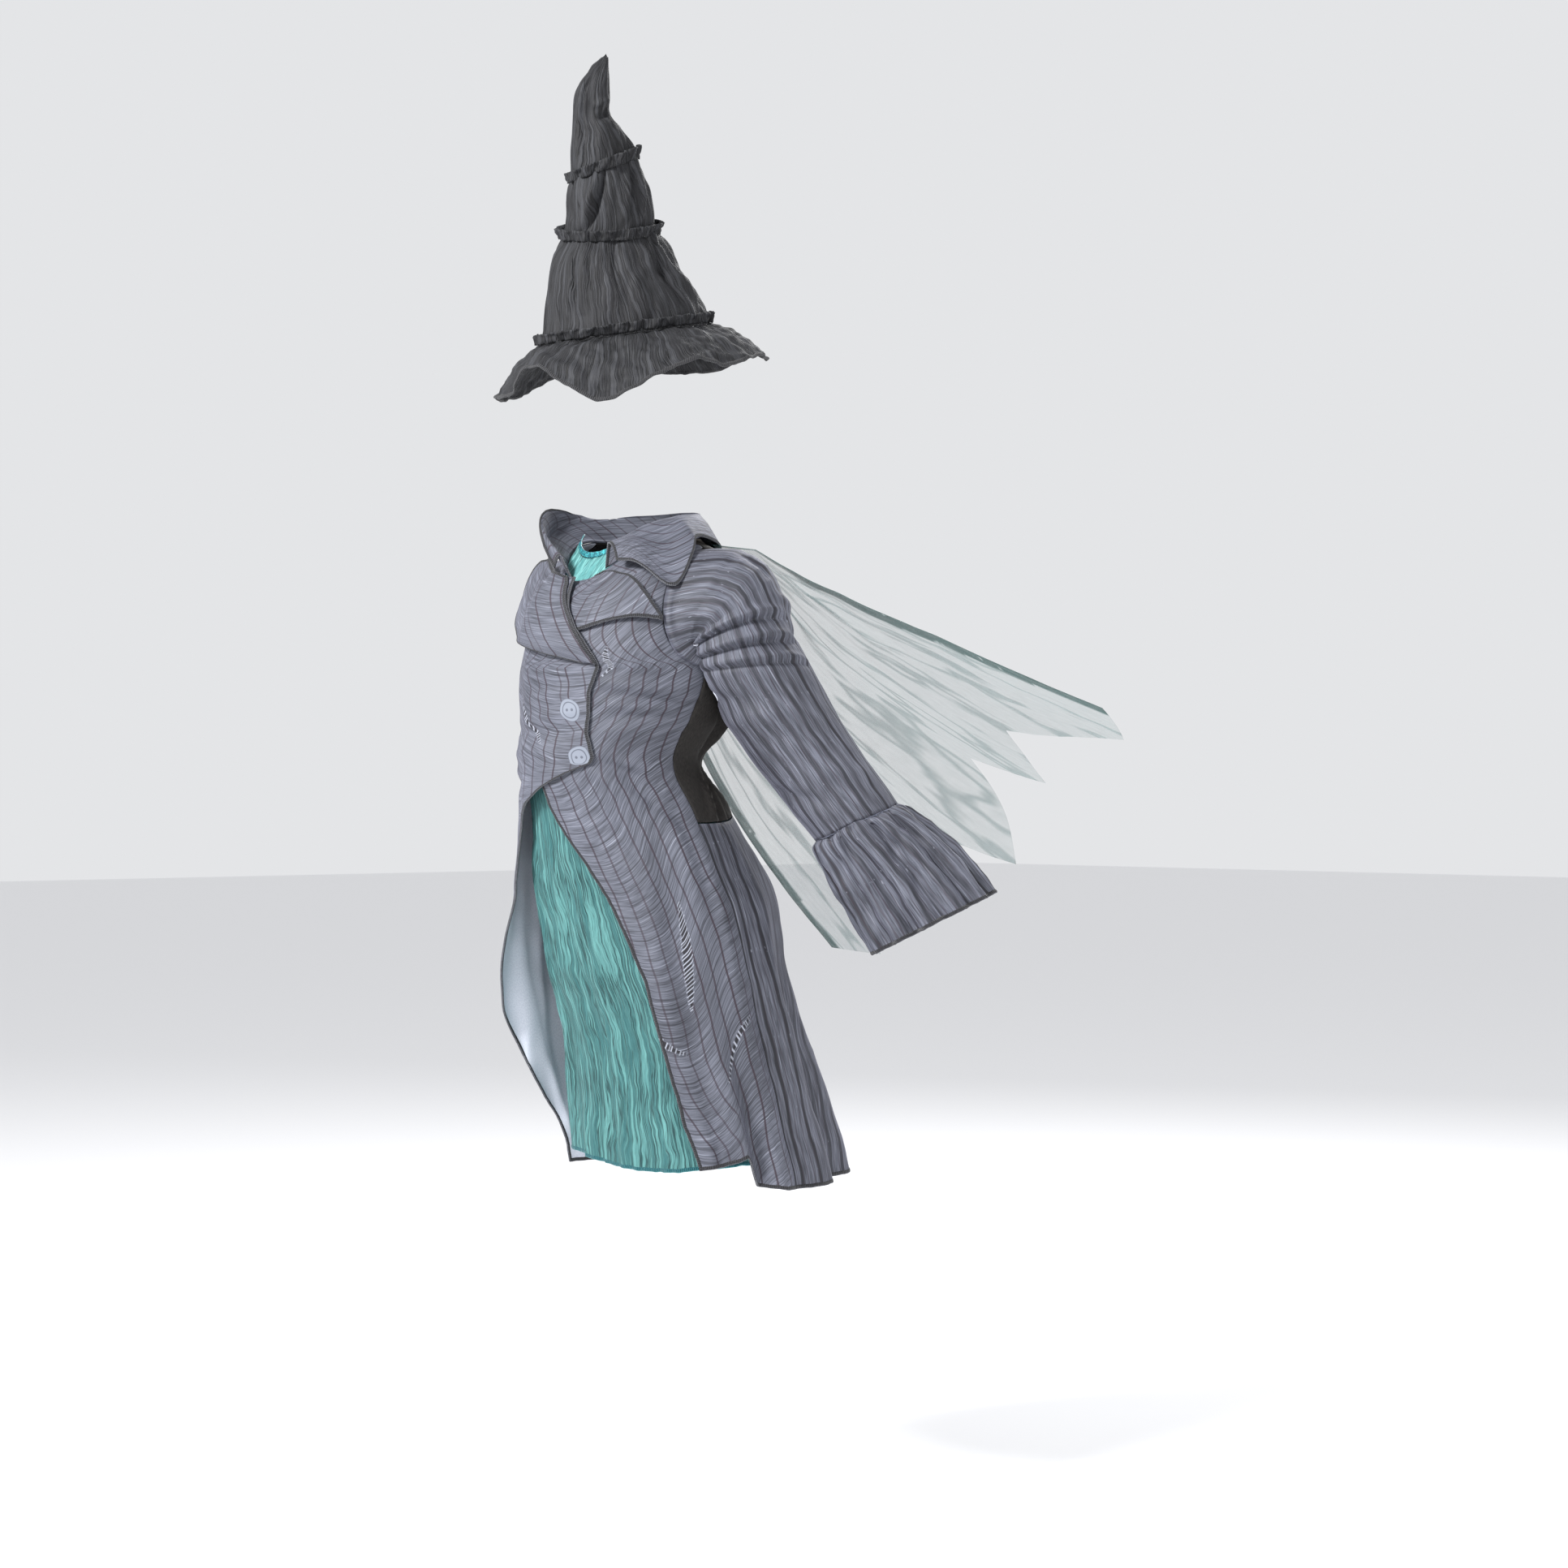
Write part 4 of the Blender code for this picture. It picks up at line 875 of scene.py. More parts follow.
# %% Creases of the coat
COAT_CREASES = (
    Crease(33, 0.128, 76, 0.138, 0.006, -0.0032),
    Crease(30, 0.141, 82, 0.149, 0.006, 0.0032),
    Crease(34, 0.151, 86, 0.161, 0.005, -0.0038),
    Crease(31, 0.163, 74, 0.168, 0.007, 0.0035),
    Crease(38, 0.174, 84, 0.171, 0.005, -0.0032),
    Crease(34, 0.190, 70, 0.186, 0.008, 0.0023),
    Crease(38, 0.218, 74, 0.246, 0.006, -0.0043),
    Crease(33, 0.226, 62, 0.268, 0.007, 0.0035),
    Crease(46, 0.218, 86, 0.234, 0.005, 0.0029),
    Crease(52, 0.236, 80, 0.290, 0.008, -0.0038),
    Crease(30, 0.246, 52, 0.330, 0.008, -0.0038),
    Crease(68, 0.250, 76, 0.380, 0.010, 0.0041),
    Crease(58, 0.300, 64, 0.600, 0.012, -0.0052),
    Crease(50, 0.330, 53, 0.560, 0.010, 0.0038),
    Crease(84, 0.290, 90, 0.520, 0.009, 0.0043),
    Crease(20, 0.138, -34, 0.150, 0.007, -0.0026),
    Crease(26, 0.168, -22, 0.182, 0.006, 0.0026),
    Crease(24, 0.192, -48, 0.186, 0.006, -0.0035),
    Crease(10, 0.208, -60, 0.214, 0.007, 0.0032),
    Crease(-18, 0.222, -62, 0.262, 0.008, -0.0041),
    Crease(-40, 0.226, -76, 0.250, 0.006, 0.0029),
    Crease(-48, 0.130, -84, 0.142, 0.006, -0.0035),
    Crease(-50, 0.152, -86, 0.158, 0.007, 0.0029),
    Crease(-58, 0.330, -66, 0.560, 0.012, 0.0043),
    Crease(-80, 0.300, -84, 0.600, 0.011, -0.0049),
    Crease(114, 0.222, 100, 0.284, 0.005, 0.0058),
    Crease(114, 0.222, 107, 0.286, 0.0035, -0.0058),
    Crease(114, 0.222, 115, 0.284, 0.004, 0.0061),
    Crease(114, 0.222, 123, 0.286, 0.0035, -0.0052),
    Crease(116, 0.222, 134, 0.282, 0.005, 0.0052),
    Crease(118, 0.222, 146, 0.276, 0.005, -0.0043),
    Crease(114, 0.222, 104, 0.160, 0.006, -0.0043),
    Crease(116, 0.220, 120, 0.150, 0.007, 0.0043),
    Crease(118, 0.220, 140, 0.156, 0.006, -0.0043),
    Crease(150, 0.212, 180, 0.180, 0.007, 0.0035),
    Crease(160, 0.224, 200, 0.226, 0.005, -0.0038),
    Crease(196, 0.218, 226, 0.168, 0.006, -0.0038),
    Crease(208, 0.222, 236, 0.262, 0.006, 0.0043),
    Crease(222, 0.222, 252, 0.250, 0.005, -0.0038),
    Crease(232, 0.218, 262, 0.190, 0.006, 0.0032),
    Crease(110, 0.290, 112, 0.560, 0.009, 0.0049),
    Crease(138, 0.300, 140, 0.520, 0.010, -0.0049),
    Crease(166, 0.290, 168, 0.600, 0.010, 0.0043),
    Crease(196, 0.300, 200, 0.480, 0.011, -0.0046),
    Crease(228, 0.290, 232, 0.590, 0.009, 0.0049),
    Crease(258, 0.320, 256, 0.540, 0.010, -0.0043),
)
COAT_SCALE = (0.0022, 1)
LEVEL_STEP = 0.0045


def fine_levels(levels):
    """The levels, with even steps added between them."""
    made = [levels[0]]
    for low, high in zip(levels, levels[1:]):
        steps = max(math.ceil((high - low) / LEVEL_STEP), 1)
        made += [low + (high - low) * (step + 1) / steps for step in range(steps)]
    return made


def coat_panel(node, levels, angles, height, columns, finish, drawn=lambda angle, level: 0.0, **settings):
    """A panel of the coat between two angles at each level."""
    levels = fine_levels(levels)
    rows = len(levels) - 1

    def chart(across, along):
        level = levels[round(along * rows)]
        first, last = angles(level)
        return first + (last - first) * across, level

    def place(across, along):
        angle, level = chart(across, along)
        return raised(coat, angle, to_hem(angle, level) - drawn(angle, level), height(across, angle, level))

    return cloth_shell(
        node, place, columns, rows, finish, "coat_cloth", creases=COAT_CREASES, chart=chart,
        scale=COAT_SCALE, **settings,
    )


# %% [markdown]
# The two fronts run from the shoulder to the tails in one piece each, with the armhole cut out of the
# outer edge. The wearer's right front laps over the left one, so it lies a few millimetres out.

# %% Fronts
COAT_LEVELS = (0.0, 0.015, 0.030, 0.0455, 0.050, 0.058, 0.070, 0.085, 0.100, 0.112, 0.1215, 0.134, 0.152)
COAT_LEVELS += (0.171, 0.190, 0.206, 0.216, 0.222, 0.227, 0.232, 0.240, 0.248, 0.258, 0.270, 0.282)
COAT_LEVELS += (0.305, 0.340, 0.385, 0.435, 0.485, 0.530, 0.570, 0.605, 0.630, 0.650)
LAPPED_LAYERS = 1.25
LAPPED_LAPEL_LAYERS = 1.35
LAPEL_END_LEVEL = 0.118
LAPEL_END_EASE = 0.018
LAP_END_ANGLE = -34
LAP_EASE_ANGLE = 20
FLAP_LIFT = 0.016
FLAP_START = 0.36
FLAP_LENGTH = 0.27
FLAP_FADE = 2.2


def lapped_height(angle, level):
    """How far the wearer's right front lies outside the left one and, higher up, outside its lapel."""
    layers = LAPPED_LAYERS + LAPPED_LAPEL_LAYERS * ease((LAPEL_END_LEVEL - level) / LAPEL_END_EASE)
    return LAYER * layers * ease((angle - LAP_END_ANGLE) / LAP_EASE_ANGLE)


def front_angles(side):
    def angles(level):
        edge = straight(EDGES, level)
        inner = edge.left_front if side > 0 else edge.right_front
        return inner, side * (edge.side - armhole(level) - seam_angle(level))
    return angles


def right_height(across, angle, level):
    flap = math.sin(math.pi * min(max((level - FLAP_START) / FLAP_LENGTH, 0), 1))
    return lapped_height(angle, level) + FLAP_LIFT * flap * ease(1 - across * FLAP_FADE)


front_right = coat_panel(
    "coat_front_right", COAT_LEVELS, front_angles(-1), right_height, 84, coat_right,
    inside=pale_back, threads_from=1.0,
)
front_left = coat_panel(
    "coat_front_left", COAT_LEVELS, front_angles(1), lambda *_: 0.0, 84, coat_left,
    inside=pale_back, threads_from=1.0,
)
for front in (front_right, front_left):
    overlocked(front, ("left", "bottom"), dark_thread)

# %% [markdown]
# The back is black stretch cloth to the waist seam, with the printed skirt sewn on below it. Both
# share their edge angles with the fronts, so the side seams stay shut.

# %% Back
BACK_SEAM = 0.282
BACK_SEAM_DIP = 0.012
BODICE_DIP_FROM = 0.15
BODICE_DIP_LENGTH = 0.13
SKIRT_DIP_LENGTH = 0.12
SKIRT_LOWERED = 0.0012
SKIRT_START = BACK_SEAM + SEAM_GAP + SKIRT_LOWERED
bodice_levels = tuple(level for level in COAT_LEVELS if level <= BACK_SEAM)
skirt_levels = (SKIRT_START, *(level for level in COAT_LEVELS if level > BACK_SEAM))


def seam_drop(angle):
    return BACK_SEAM_DIP * math.cos(math.radians(angle)) ** 2


def back_angles(level):
    outer = straight(EDGES, level).side + armhole(level) + seam_angle(level)
    return outer, 360 - outer


back_bodice = coat_panel(
    "back_bodice", bodice_levels, back_angles, lambda *_: 0.0, 90, stretch,
    drawn=lambda angle, level: seam_drop(angle) * ease((level - BODICE_DIP_FROM) / BODICE_DIP_LENGTH),
)
back_skirt = coat_panel(
    "back_skirt", skirt_levels, back_angles, lambda *_: 0.0, 140, striped, inside=pale_back,
    drawn=lambda angle, level: seam_drop(angle) * ease(1 - (level - BACK_SEAM) / SKIRT_DIP_LENGTH),
)
overlocked(back_skirt, ("bottom",), dark_thread)

# %% [markdown]
# The underskirt is crinkled all over, with long uneven pleats that the eye reads at once. The larger
# ones are real relief, from noise that changes fast round the body and slowly down it.

# %% Underskirt
UNDERSKIRT = (
    level_ring(0.236, 0.000, -0.030, 0.092, -0.120, 0.030),
    level_ring(0.262, 0.000, -0.024, 0.098, -0.117, 0.052),
    level_ring(0.300, 0.000, -0.018, 0.107, -0.113, 0.076),
    level_ring(0.357, 0.000, -0.010, 0.122, -0.099, 0.105),
    level_ring(0.434, 0.008, 0.004, 0.132, -0.080, 0.124),
    level_ring(0.510, 0.016, 0.015, 0.138, -0.058, 0.140),
    level_ring(0.588, 0.024, 0.028, 0.142, -0.054, 0.160),
    level_ring(0.640, 0.027, 0.034, 0.145, -0.052, 0.166),
)
UNDERSKIRT_TOP = 0.236
UNDERSKIRT_HEM = 0.634
UNDERSKIRT_WAVES = 14
WAIST_SEAM_DEPTH = 0.0034
WAIST_EASE = 6
WAIST_TUCK = 0.0030
UNDERSKIRT_WAVE = 0.003
HEM_WAVE = 0.005
HEM_WAVES = 3
HEM_WAVE_TURN = 40
HEM_WAVE_LENGTH = 0.2


def underskirt_point(across, along):
    angle = 360 * across
    level = UNDERSKIRT_TOP + (UNDERSKIRT_HEM - UNDERSKIRT_TOP) * along
    wave = math.sin(math.radians(UNDERSKIRT_WAVES * angle)) * UNDERSKIRT_WAVE * along
    near_hem = ease((along - 1 + HEM_WAVE_LENGTH) / HEM_WAVE_LENGTH)
    hem = HEM_WAVE * math.sin(math.radians(HEM_WAVES * angle + HEM_WAVE_TURN)) * near_hem
    waist_seam = raised(coat, angle, UNDERSKIRT_TOP, -WAIST_SEAM_DEPTH)
    point = waist_seam.lerp(ring_point(UNDERSKIRT, angle, level + hem), ease(along * WAIST_EASE))
    outwards = Vector((point.x, point.y, 0)).normalized()
    return point + outwards * (wave - WAIST_TUCK * (1 - along))


underskirt = cloth_shell(
    "underskirt", underskirt_point, 320, 110, teal, "teal_crinkle", held="gathered", tube=True,
    ripples=(Ripple(0.0034, 85, 9), Ripple(0.0016, 190, 20)),
)
overlocked(underskirt, ("bottom",), teal_thread)

# %% [markdown]
# The collar turns down from the neck seam over a soft fold and ends in points. Its outer edge is
# placed on the coat by angle and level, so that it follows the shoulders.

# %% Collar
CollarSection = namedtuple("CollarSection", "angle fold_x fold_y fold_z edge_angle edge_level edge_height")
COLLAR = (
    CollarSection(-14, -0.022, -0.086, -0.008, -30, 0.006, 0.014),
    CollarSection(-48, -0.064, -0.074, 0.008, -64, 0.006, 0.052),
    CollarSection(-80, -0.088, -0.034, 0.031, -86, 0.012, 0.036),
    CollarSection(-120, -0.066, 0.028, 0.041, -118, 0.022, 0.010),
    CollarSection(-160, -0.026, 0.060, 0.044, -158, 0.026, 0.008),
    CollarSection(-200, 0.024, 0.058, 0.042, -202, 0.026, 0.008),
    CollarSection(-240, 0.054, 0.026, 0.037, -242, 0.030, 0.008),
    CollarSection(-274, 0.062, -0.006, 0.033, -272, 0.034, 0.009),
    CollarSection(-304, 0.056, -0.042, 0.021, -293, 0.070, 0.014),
    CollarSection(-332, 0.036, -0.074, 0.004, -318, 0.018, 0.013),
)
COLLAR_SEAM_RISE = 0.0018
COLLAR_SEAM_HEIGHT = 0.0008
COLLAR_FOLD_AT = 0.4
COLLAR_ROLL = 0.006
COLLAR_STATIONS = numbered(COLLAR)


def collar_point(across, along):
    section = between(COLLAR_STATIONS, across * (len(COLLAR) - 1))
    seam = raised(coat, section.angle, -COLLAR_SEAM_RISE, COLLAR_SEAM_HEIGHT)
    fold = Vector((section.fold_x, section.fold_y, section.fold_z))
    edge = raised(coat, section.edge_angle, section.edge_level, section.edge_height)
    if along < COLLAR_FOLD_AT:
        return seam.lerp(fold, along / COLLAR_FOLD_AT)
    fall = (along - COLLAR_FOLD_AT) / (1 - COLLAR_FOLD_AT)
    return fold.lerp(edge, fall) + Vector((0, 0, COLLAR_ROLL * math.sin(math.pi * fall)))


collar = cloth_shell(
    "collar", collar_point, 150, 30, coat_plain, "coat_cloth", inside=coat_plain,
    ripples=(Ripple(0.0016, 28, 28), Ripple(0.0005, 80, 80)),
)
overlocked(collar, ("left", "bottom", "right"), dark_thread)

# %% [markdown]
# Each lapel is folded back from its front and lies on it. Its points are the coat's own points,
# moved out by the layers under it.

# %% Lapels
LapelSection = namedtuple("LapelSection", "fold_angle fold_level edge_angle edge_level stand drawn_up")
LAPEL_RIGHT = (
    LapelSection(-7, 0.001, -48, 0.016, 0.012, 0.000),
    LapelSection(-1, 0.012, -53, 0.032, 0.013, 0.000),
    LapelSection(4, 0.030, -56, 0.055, 0.014, 0.000),
    LapelSection(10, 0.050, -59, 0.074, 0.015, 0.000),
    LapelSection(15, 0.072, -45, 0.086, 0.012, 0.000),
    LapelSection(20, 0.092, -22, 0.098, 0.008, 0.000),
    LapelSection(25, 0.108, -2, 0.109, 0.004, 0.000),
    LapelSection(30, 0.122, 22, 0.121, 0.001, 0.000),
)
LAPEL_LEFT = (
    LapelSection(22, 0.002, 29, 0.004, 0.000, 0.000),
    LapelSection(15, 0.003, 37, 0.016, 0.000, 0.000),
    LapelSection(5, 0.007, 45, 0.038, 0.000, 0.000),
    LapelSection(-4, 0.020, 53, 0.063, 0.002, 0.000),
    LapelSection(-6, 0.052, 59, 0.080, 0.004, 0.000),
    LapelSection(-6, 0.074, 62, 0.088, 0.004, 0.004),
    LapelSection(-4, 0.093, 62, 0.091, 0.004, 0.012),
)
LAPEL_ROLL = 0.0025
LAPEL_ROLL_FADE = 1.5
LAPEL_SEAT = 0.0023


def lapel_place(table, side):
    sections = numbered(table)

    def place(across, along):
        row = straight(sections, along * (len(sections) - 1))
        angle = row.fold_angle + (row.edge_angle - row.fold_angle) * across
        level = row.fold_level + (row.edge_level - row.fold_level) * across
        level -= row.drawn_up * math.sin(math.pi * across)
        height = LAPEL_SEAT + row.stand * across
        if side < 0:
            roll = math.sin(math.pi * min(across * LAPEL_ROLL_FADE, 1))
            height += lapped_height(angle, level) + LAPEL_ROLL * roll
        return raised(coat, angle, level, height)
    return place


lapel_right = cloth_shell(
    "lapel_right", lapel_place(LAPEL_RIGHT, -1), 48, 70, coat_plain, "coat_cloth", inside=pale_back
)
lapel_left = cloth_shell(
    "lapel_left", lapel_place(LAPEL_LEFT, 1), 48, 60, coat_plain, "coat_cloth", inside=pale_back
)
overlocked(lapel_right, ("left", "right", "top"), dark_thread)
overlocked(lapel_left, ("right", "bottom", "top"), dark_thread)

# %% [markdown]
# A small inset of lighter crinkle fills the neck behind the collar, with a strip of glitter along it.

# %% Neck inset
INSET_DEPTH = 0.0021
INSET_FROM = -58
INSET_SWEEP = 110
INSET_TOP = -0.0230
INSET_LENGTH = 0.0300
TRIM_TOP = -0.0288
TRIM_LENGTH = 0.0050


def inset_place(top, length):
    def place(across, along):
        return raised(coat, INSET_FROM + INSET_SWEEP * across, top + length * along, -INSET_DEPTH)
    return place


inset_trim = cloth_shell(
    "inset_trim", inset_place(TRIM_TOP, TRIM_LENGTH), 90, 6, trim, "glitter_trim", held=None,
    ripples=(Ripple(0.0006, 200, 200),),
)
cloth_shell(
    "neck_inset", inset_place(INSET_TOP, INSET_LENGTH), 90, 22, light_teal, "teal_crinkle", held="gathered",
    ripples=(Ripple(0.0012, 160, 30),), trimmed_with=(inset_trim.piece,),
)

# %% [markdown]
# The sleeves run from the armhole through a puffed head to the wrist. Rings along the arm are tilted
# with it, smoothed into one curve by a short weighted mean, and kept clear of the coat. Deep tucks cross
# the upper arm.

# %% Sleeves
SleeveSection = namedtuple("SleeveSection", "out z half_width half_depth raised")
ARM_START_X = 0.112
ARM_START_Y = 0.006
ARM_HEADING = {"left": 42, "right": 52}
SLEEVE_CLEARANCE = 0.007
DEEPEST_SHARE = 0.2
SMOOTHING = 0.9
SMOOTHING_STEPS = (-1, -0.5, 0, 0.5, 1)
SMOOTHING_SHARES = (0.12, 0.23, 0.30, 0.23, 0.12)
SLEEVE = (
    SleeveSection(0.012, -0.056, 0.064, 0.056, 56),
    SleeveSection(0.018, -0.073, 0.060, 0.057, 40),
    SleeveSection(0.027, -0.100, 0.056, 0.056, 28),
    SleeveSection(0.041, -0.130, 0.053, 0.054, 25),
    SleeveSection(0.060, -0.161, 0.051, 0.051, 27),
    SleeveSection(0.085, -0.198, 0.048, 0.048, 29),
    SleeveSection(0.110, -0.235, 0.047, 0.046, 29),
    SleeveSection(0.146, -0.283, 0.046, 0.045, 24),
)
SLEEVE_CREASES = (
    Crease(160, 0.20, 14, 0.36, 0.0050, 0.0055),
    Crease(160, 0.225, 14, 0.385, 0.0035, -0.0060),
    Crease(158, 0.30, 8, 0.45, 0.0050, 0.0049),
    Crease(158, 0.325, 8, 0.475, 0.0032, -0.0057),
    Crease(146, 0.38, 4, 0.55, 0.0055, 0.0047),
    Crease(146, 0.405, 4, 0.57, 0.0032, -0.0047),
    Crease(196, 0.46, 96, 0.60, 0.0080, -0.0034),
    Crease(190, 0.60, 60, 0.68, 0.0090, 0.0031),
    Crease(120, 0.70, 30, 0.80, 0.0080, -0.0026),
    Crease(170, 0.84, 96, 0.94, 0.0060, -0.0036),
    Crease(100, 0.86, 20, 0.93, 0.0060, 0.0026),
    Crease(30, 0.30, -70, 0.38, 0.0060, 0.0044),
    Crease(20, 0.42, -80, 0.50, 0.0050, -0.0044),
    Crease(250, 0.30, 200, 0.44, 0.0060, -0.0039),
    Crease(290, 0.55, 220, 0.66, 0.0080, 0.0034),
    Crease(330, 0.72, 250, 0.82, 0.0080, -0.0031),
    Crease(70, 0.10, 76, 0.26, 0.0060, -0.0039),
    Crease(96, 0.10, 100, 0.24, 0.0050, 0.0039),
    Crease(116, 0.10, 118, 0.24, 0.0045, -0.0036),
    Crease(44, 0.10, 48, 0.24, 0.0055, 0.0034),
    Crease(18, 0.10, 22, 0.24, 0.0050, -0.0034),
    Crease(-30, 0.10, -34, 0.24, 0.0060, -0.0036),
    Crease(-62, 0.10, -60, 0.26, 0.0050, 0.0036),
)
SLEEVE_SCALE = (0.00092, 0.27)
HeightRing = namedtuple("HeightRing", "down centre_x middle_y half_width front_y back_y")
COAT_BY_HEIGHT = tuple(
    HeightRing(-ring.side_z, ring.centre_x, ring.middle_y, ring.half_width, ring.front_y, ring.back_y)
    for ring in COAT
)


def sleeve_ring(section, side, turn):
    """A point of a sleeve's section; turn is 0 at the outer side and runs over the front."""
    heading = math.radians(ARM_HEADING["left" if side > 0 else "right"])
    out = Vector((side * math.cos(heading), math.sin(heading), 0))
    across = Vector((side * math.sin(heading), -math.cos(heading), 0))
    tilt = math.radians(section.raised)
    width = out * math.cos(tilt) + Vector((0, 0, math.sin(tilt)))
    centre = Vector((side * ARM_START_X, ARM_START_Y, section.z)) + out * section.out
    reach = width * section.half_width * math.cos(turn)
    return centre + reach + across * section.half_depth * math.sin(turn)


def clear_of_coat(point, clearance):
    """The point, pushed out level until it lies this far outside the coat."""
    ring = between(COAT_BY_HEIGHT, -point.z)
    depth = ring.middle_y - ring.front_y if point.y < ring.middle_y else ring.back_y - ring.middle_y
    sideways = (point.x - ring.centre_x) / (ring.half_width + clearance)
    endways = (point.y - ring.middle_y) / (depth + clearance)
    share = math.hypot(sideways, endways)
    if share >= 1:
        return point
    centre = Vector((ring.centre_x, ring.middle_y, point.z))
    return centre + (point - centre) / max(share, DEEPEST_SHARE)


def armhole_point(side, turn):
    """The armhole's edge; turn is 0 at the shoulder and runs over the front."""
    middle = (SHOULDER_LEVEL + UNDERARM_LEVEL) / 2
    half = (UNDERARM_LEVEL - SHOULDER_LEVEL) / 2
    level = middle - half * math.cos(turn)
    side_angle = between(EDGES, level).side
    angle = side * (side_angle - ARMHOLE_HALF * math.sin(turn))
    return raised(coat, angle, level, CLOTH / 2 + SEAM_GAP + SEAT)


def sleeve_place(side):
    sections = numbered(SLEEVE)

    def along_arm(station, turn):
        if station >= 1:
            return sleeve_ring(between(sections, station - 1), side, turn)
        start = armhole_point(side, turn)
        return start.lerp(sleeve_ring(SLEEVE[0], side, turn), max(station, 0))

    def place(across, along):
        turn = 2 * math.pi * across
        station = along * len(SLEEVE)
        if station == 0:
            return armhole_point(side, turn)
        spread = SMOOTHING * ease(station) * ease((len(SLEEVE) - station) / 2)
        near = [along_arm(station + spread * step, turn) for step in SMOOTHING_STEPS]
        point = sum((spot * share for spot, share in zip(near, SMOOTHING_SHARES)), Vector())
        return clear_of_coat(point, SLEEVE_CLEARANCE)
    return place


for side_name, side in (("left", 1), ("right", -1)):
    cloth_shell(
        "sleeve_" + side_name, sleeve_place(side), 110, 120, striped, "coat_cloth", tube=True,
        inside=pale_back, creases=SLEEVE_CREASES, chart=lambda across, along: (360 * across, along),
        scale=SLEEVE_SCALE,
    )

# %% [markdown]
# The bell cuffs are gathered onto the wrist, so they leave it in a dozen waves of uneven depth, with
# short deep hollows at the seam. A share along the cuff says how far down each hollow runs.

# %% Cuffs
CUFF = (
    SleeveSection(0.1464, -0.2838, 0.0462, 0.0452, 24),
    SleeveSection(0.1530, -0.2910, 0.0540, 0.0520, 24),
    SleeveSection(0.1800, -0.3230, 0.0590, 0.0570, 26),
    SleeveSection(0.2070, -0.3600, 0.0635, 0.0610, 27),
    SleeveSection(0.2250, -0.3850, 0.0660, 0.0640, 27),
)
CUFF_WAVES = 12
CUFF_WAVE = 0.0060
CUFF_WAVE_EASE = 1.6
CUFF_GATHERS = tuple(
    Crease(angle, 0.0, angle + lean, length, width, height)
    for angle, lean, length, width, height in (
        (4, 4, 0.42, 0.0030, -0.0052), (22, -3, 0.30, 0.0026, -0.0044), (38, 5, 0.52, 0.0032, -0.0056),
        (57, 2, 0.34, 0.0028, -0.0046), (74, -4, 0.46, 0.0032, -0.0054), (93, 3, 0.28, 0.0026, -0.0042),
        (110, 5, 0.50, 0.0034, -0.0056), (131, -3, 0.36, 0.0028, -0.0048), (149, 4, 0.44, 0.0030, -0.0052),
        (170, -5, 0.32, 0.0026, -0.0044), (188, 3, 0.48, 0.0032, -0.0054), (207, 4, 0.34, 0.0028, -0.0046),
        (226, -4, 0.50, 0.0034, -0.0056), (248, 3, 0.30, 0.0026, -0.0042), (266, 5, 0.46, 0.0030, -0.0052),
        (287, -3, 0.36, 0.0028, -0.0048), (305, 4, 0.52, 0.0032, -0.0056), (326, -4, 0.32, 0.0026, -0.0044),
        (343, 3, 0.44, 0.0030, -0.0050),
    )
)
CUFF_SCALE = (0.0010, 0.13)


def cuff_place(side):
    sections = numbered(CUFF)

    def place(across, along):
        turn = 2 * math.pi * across
        section = between(sections, along * (len(sections) - 1))
        point = sleeve_ring(section, side, turn)
        centre = (point + sleeve_ring(section, side, turn + math.pi)) / 2
        wave = CUFF_WAVE * ease(along * CUFF_WAVE_EASE) * math.cos(CUFF_WAVES * turn)
        return point + (point - centre).normalized() * wave
    return place


for side_name, side in (("left", 1), ("right", -1)):
    cuff = cloth_shell(
        "cuff_" + side_name, cuff_place(side), 216, 44, striped, "coat_cloth", tube=True, held="gathered",
        inside=pale_back, ripples=(Ripple(0.0034, 45, 30), Ripple(0.0010, 120, 60)),
        creases=CUFF_GATHERS, chart=lambda across, along: (360 * across, along), scale=CUFF_SCALE,
    )
    overlocked(cuff, ("bottom",), dark_thread)

# %% [markdown]
# The hat is one long tube of crinkled charcoal in three stretches, with a bent tip. Each join is
# gathered into a puckered frill, and the brim droops in waves from the lowest one.

# %% Hat
HatRing = namedtuple("HatRing", "z across ahead radius side_tilt front_tilt")
HAT = (
    HatRing(0.2240, -0.0170, 0.0150, 0.0880, 8, 7),
    HatRing(0.2390, -0.0165, 0.0165, 0.0835, 7, 8),
    HatRing(0.2680, -0.0207, 0.0208, 0.0749, 4, 9),
    HatRing(0.2940, -0.0278, 0.0248, 0.0650, 3, 11),
    HatRing(0.3110, -0.0300, 0.0276, 0.0580, 3, 12),
    HatRing(0.3310, -0.0308, 0.0312, 0.0465, 3, 16),
    HatRing(0.3480, -0.0306, 0.0336, 0.0447, 5, 14),
    HatRing(0.3690, -0.0335, 0.0368, 0.0428, 9, 12),
    HatRing(0.3840, -0.0357, 0.0393, 0.0378, 15, 11),
    HatRing(0.3960, -0.0377, 0.0415, 0.0322, 21, 11),
    HatRing(0.4184, -0.0413, 0.0440, 0.0281, 14, 8),
    HatRing(0.4351, -0.0443, 0.0467, 0.0232, 9, 8),
    HatRing(0.4509, -0.0475, 0.0492, 0.0178, 5, 8),
    HatRing(0.4647, -0.0462, 0.0514, 0.0170, 0, 8),
    HatRing(0.4745, -0.0450, 0.0529, 0.0155, 0, 8),
    HatRing(0.4903, -0.0405, 0.0554, 0.0107, 2, 8),
    HatRing(0.5060, -0.0345, 0.0581, 0.0045, 4, 8),
    HatRing(0.5085, -0.0335, 0.0584, 0.0000, 4, 8),
)
BRIM_SEAM_Z = 0.2240
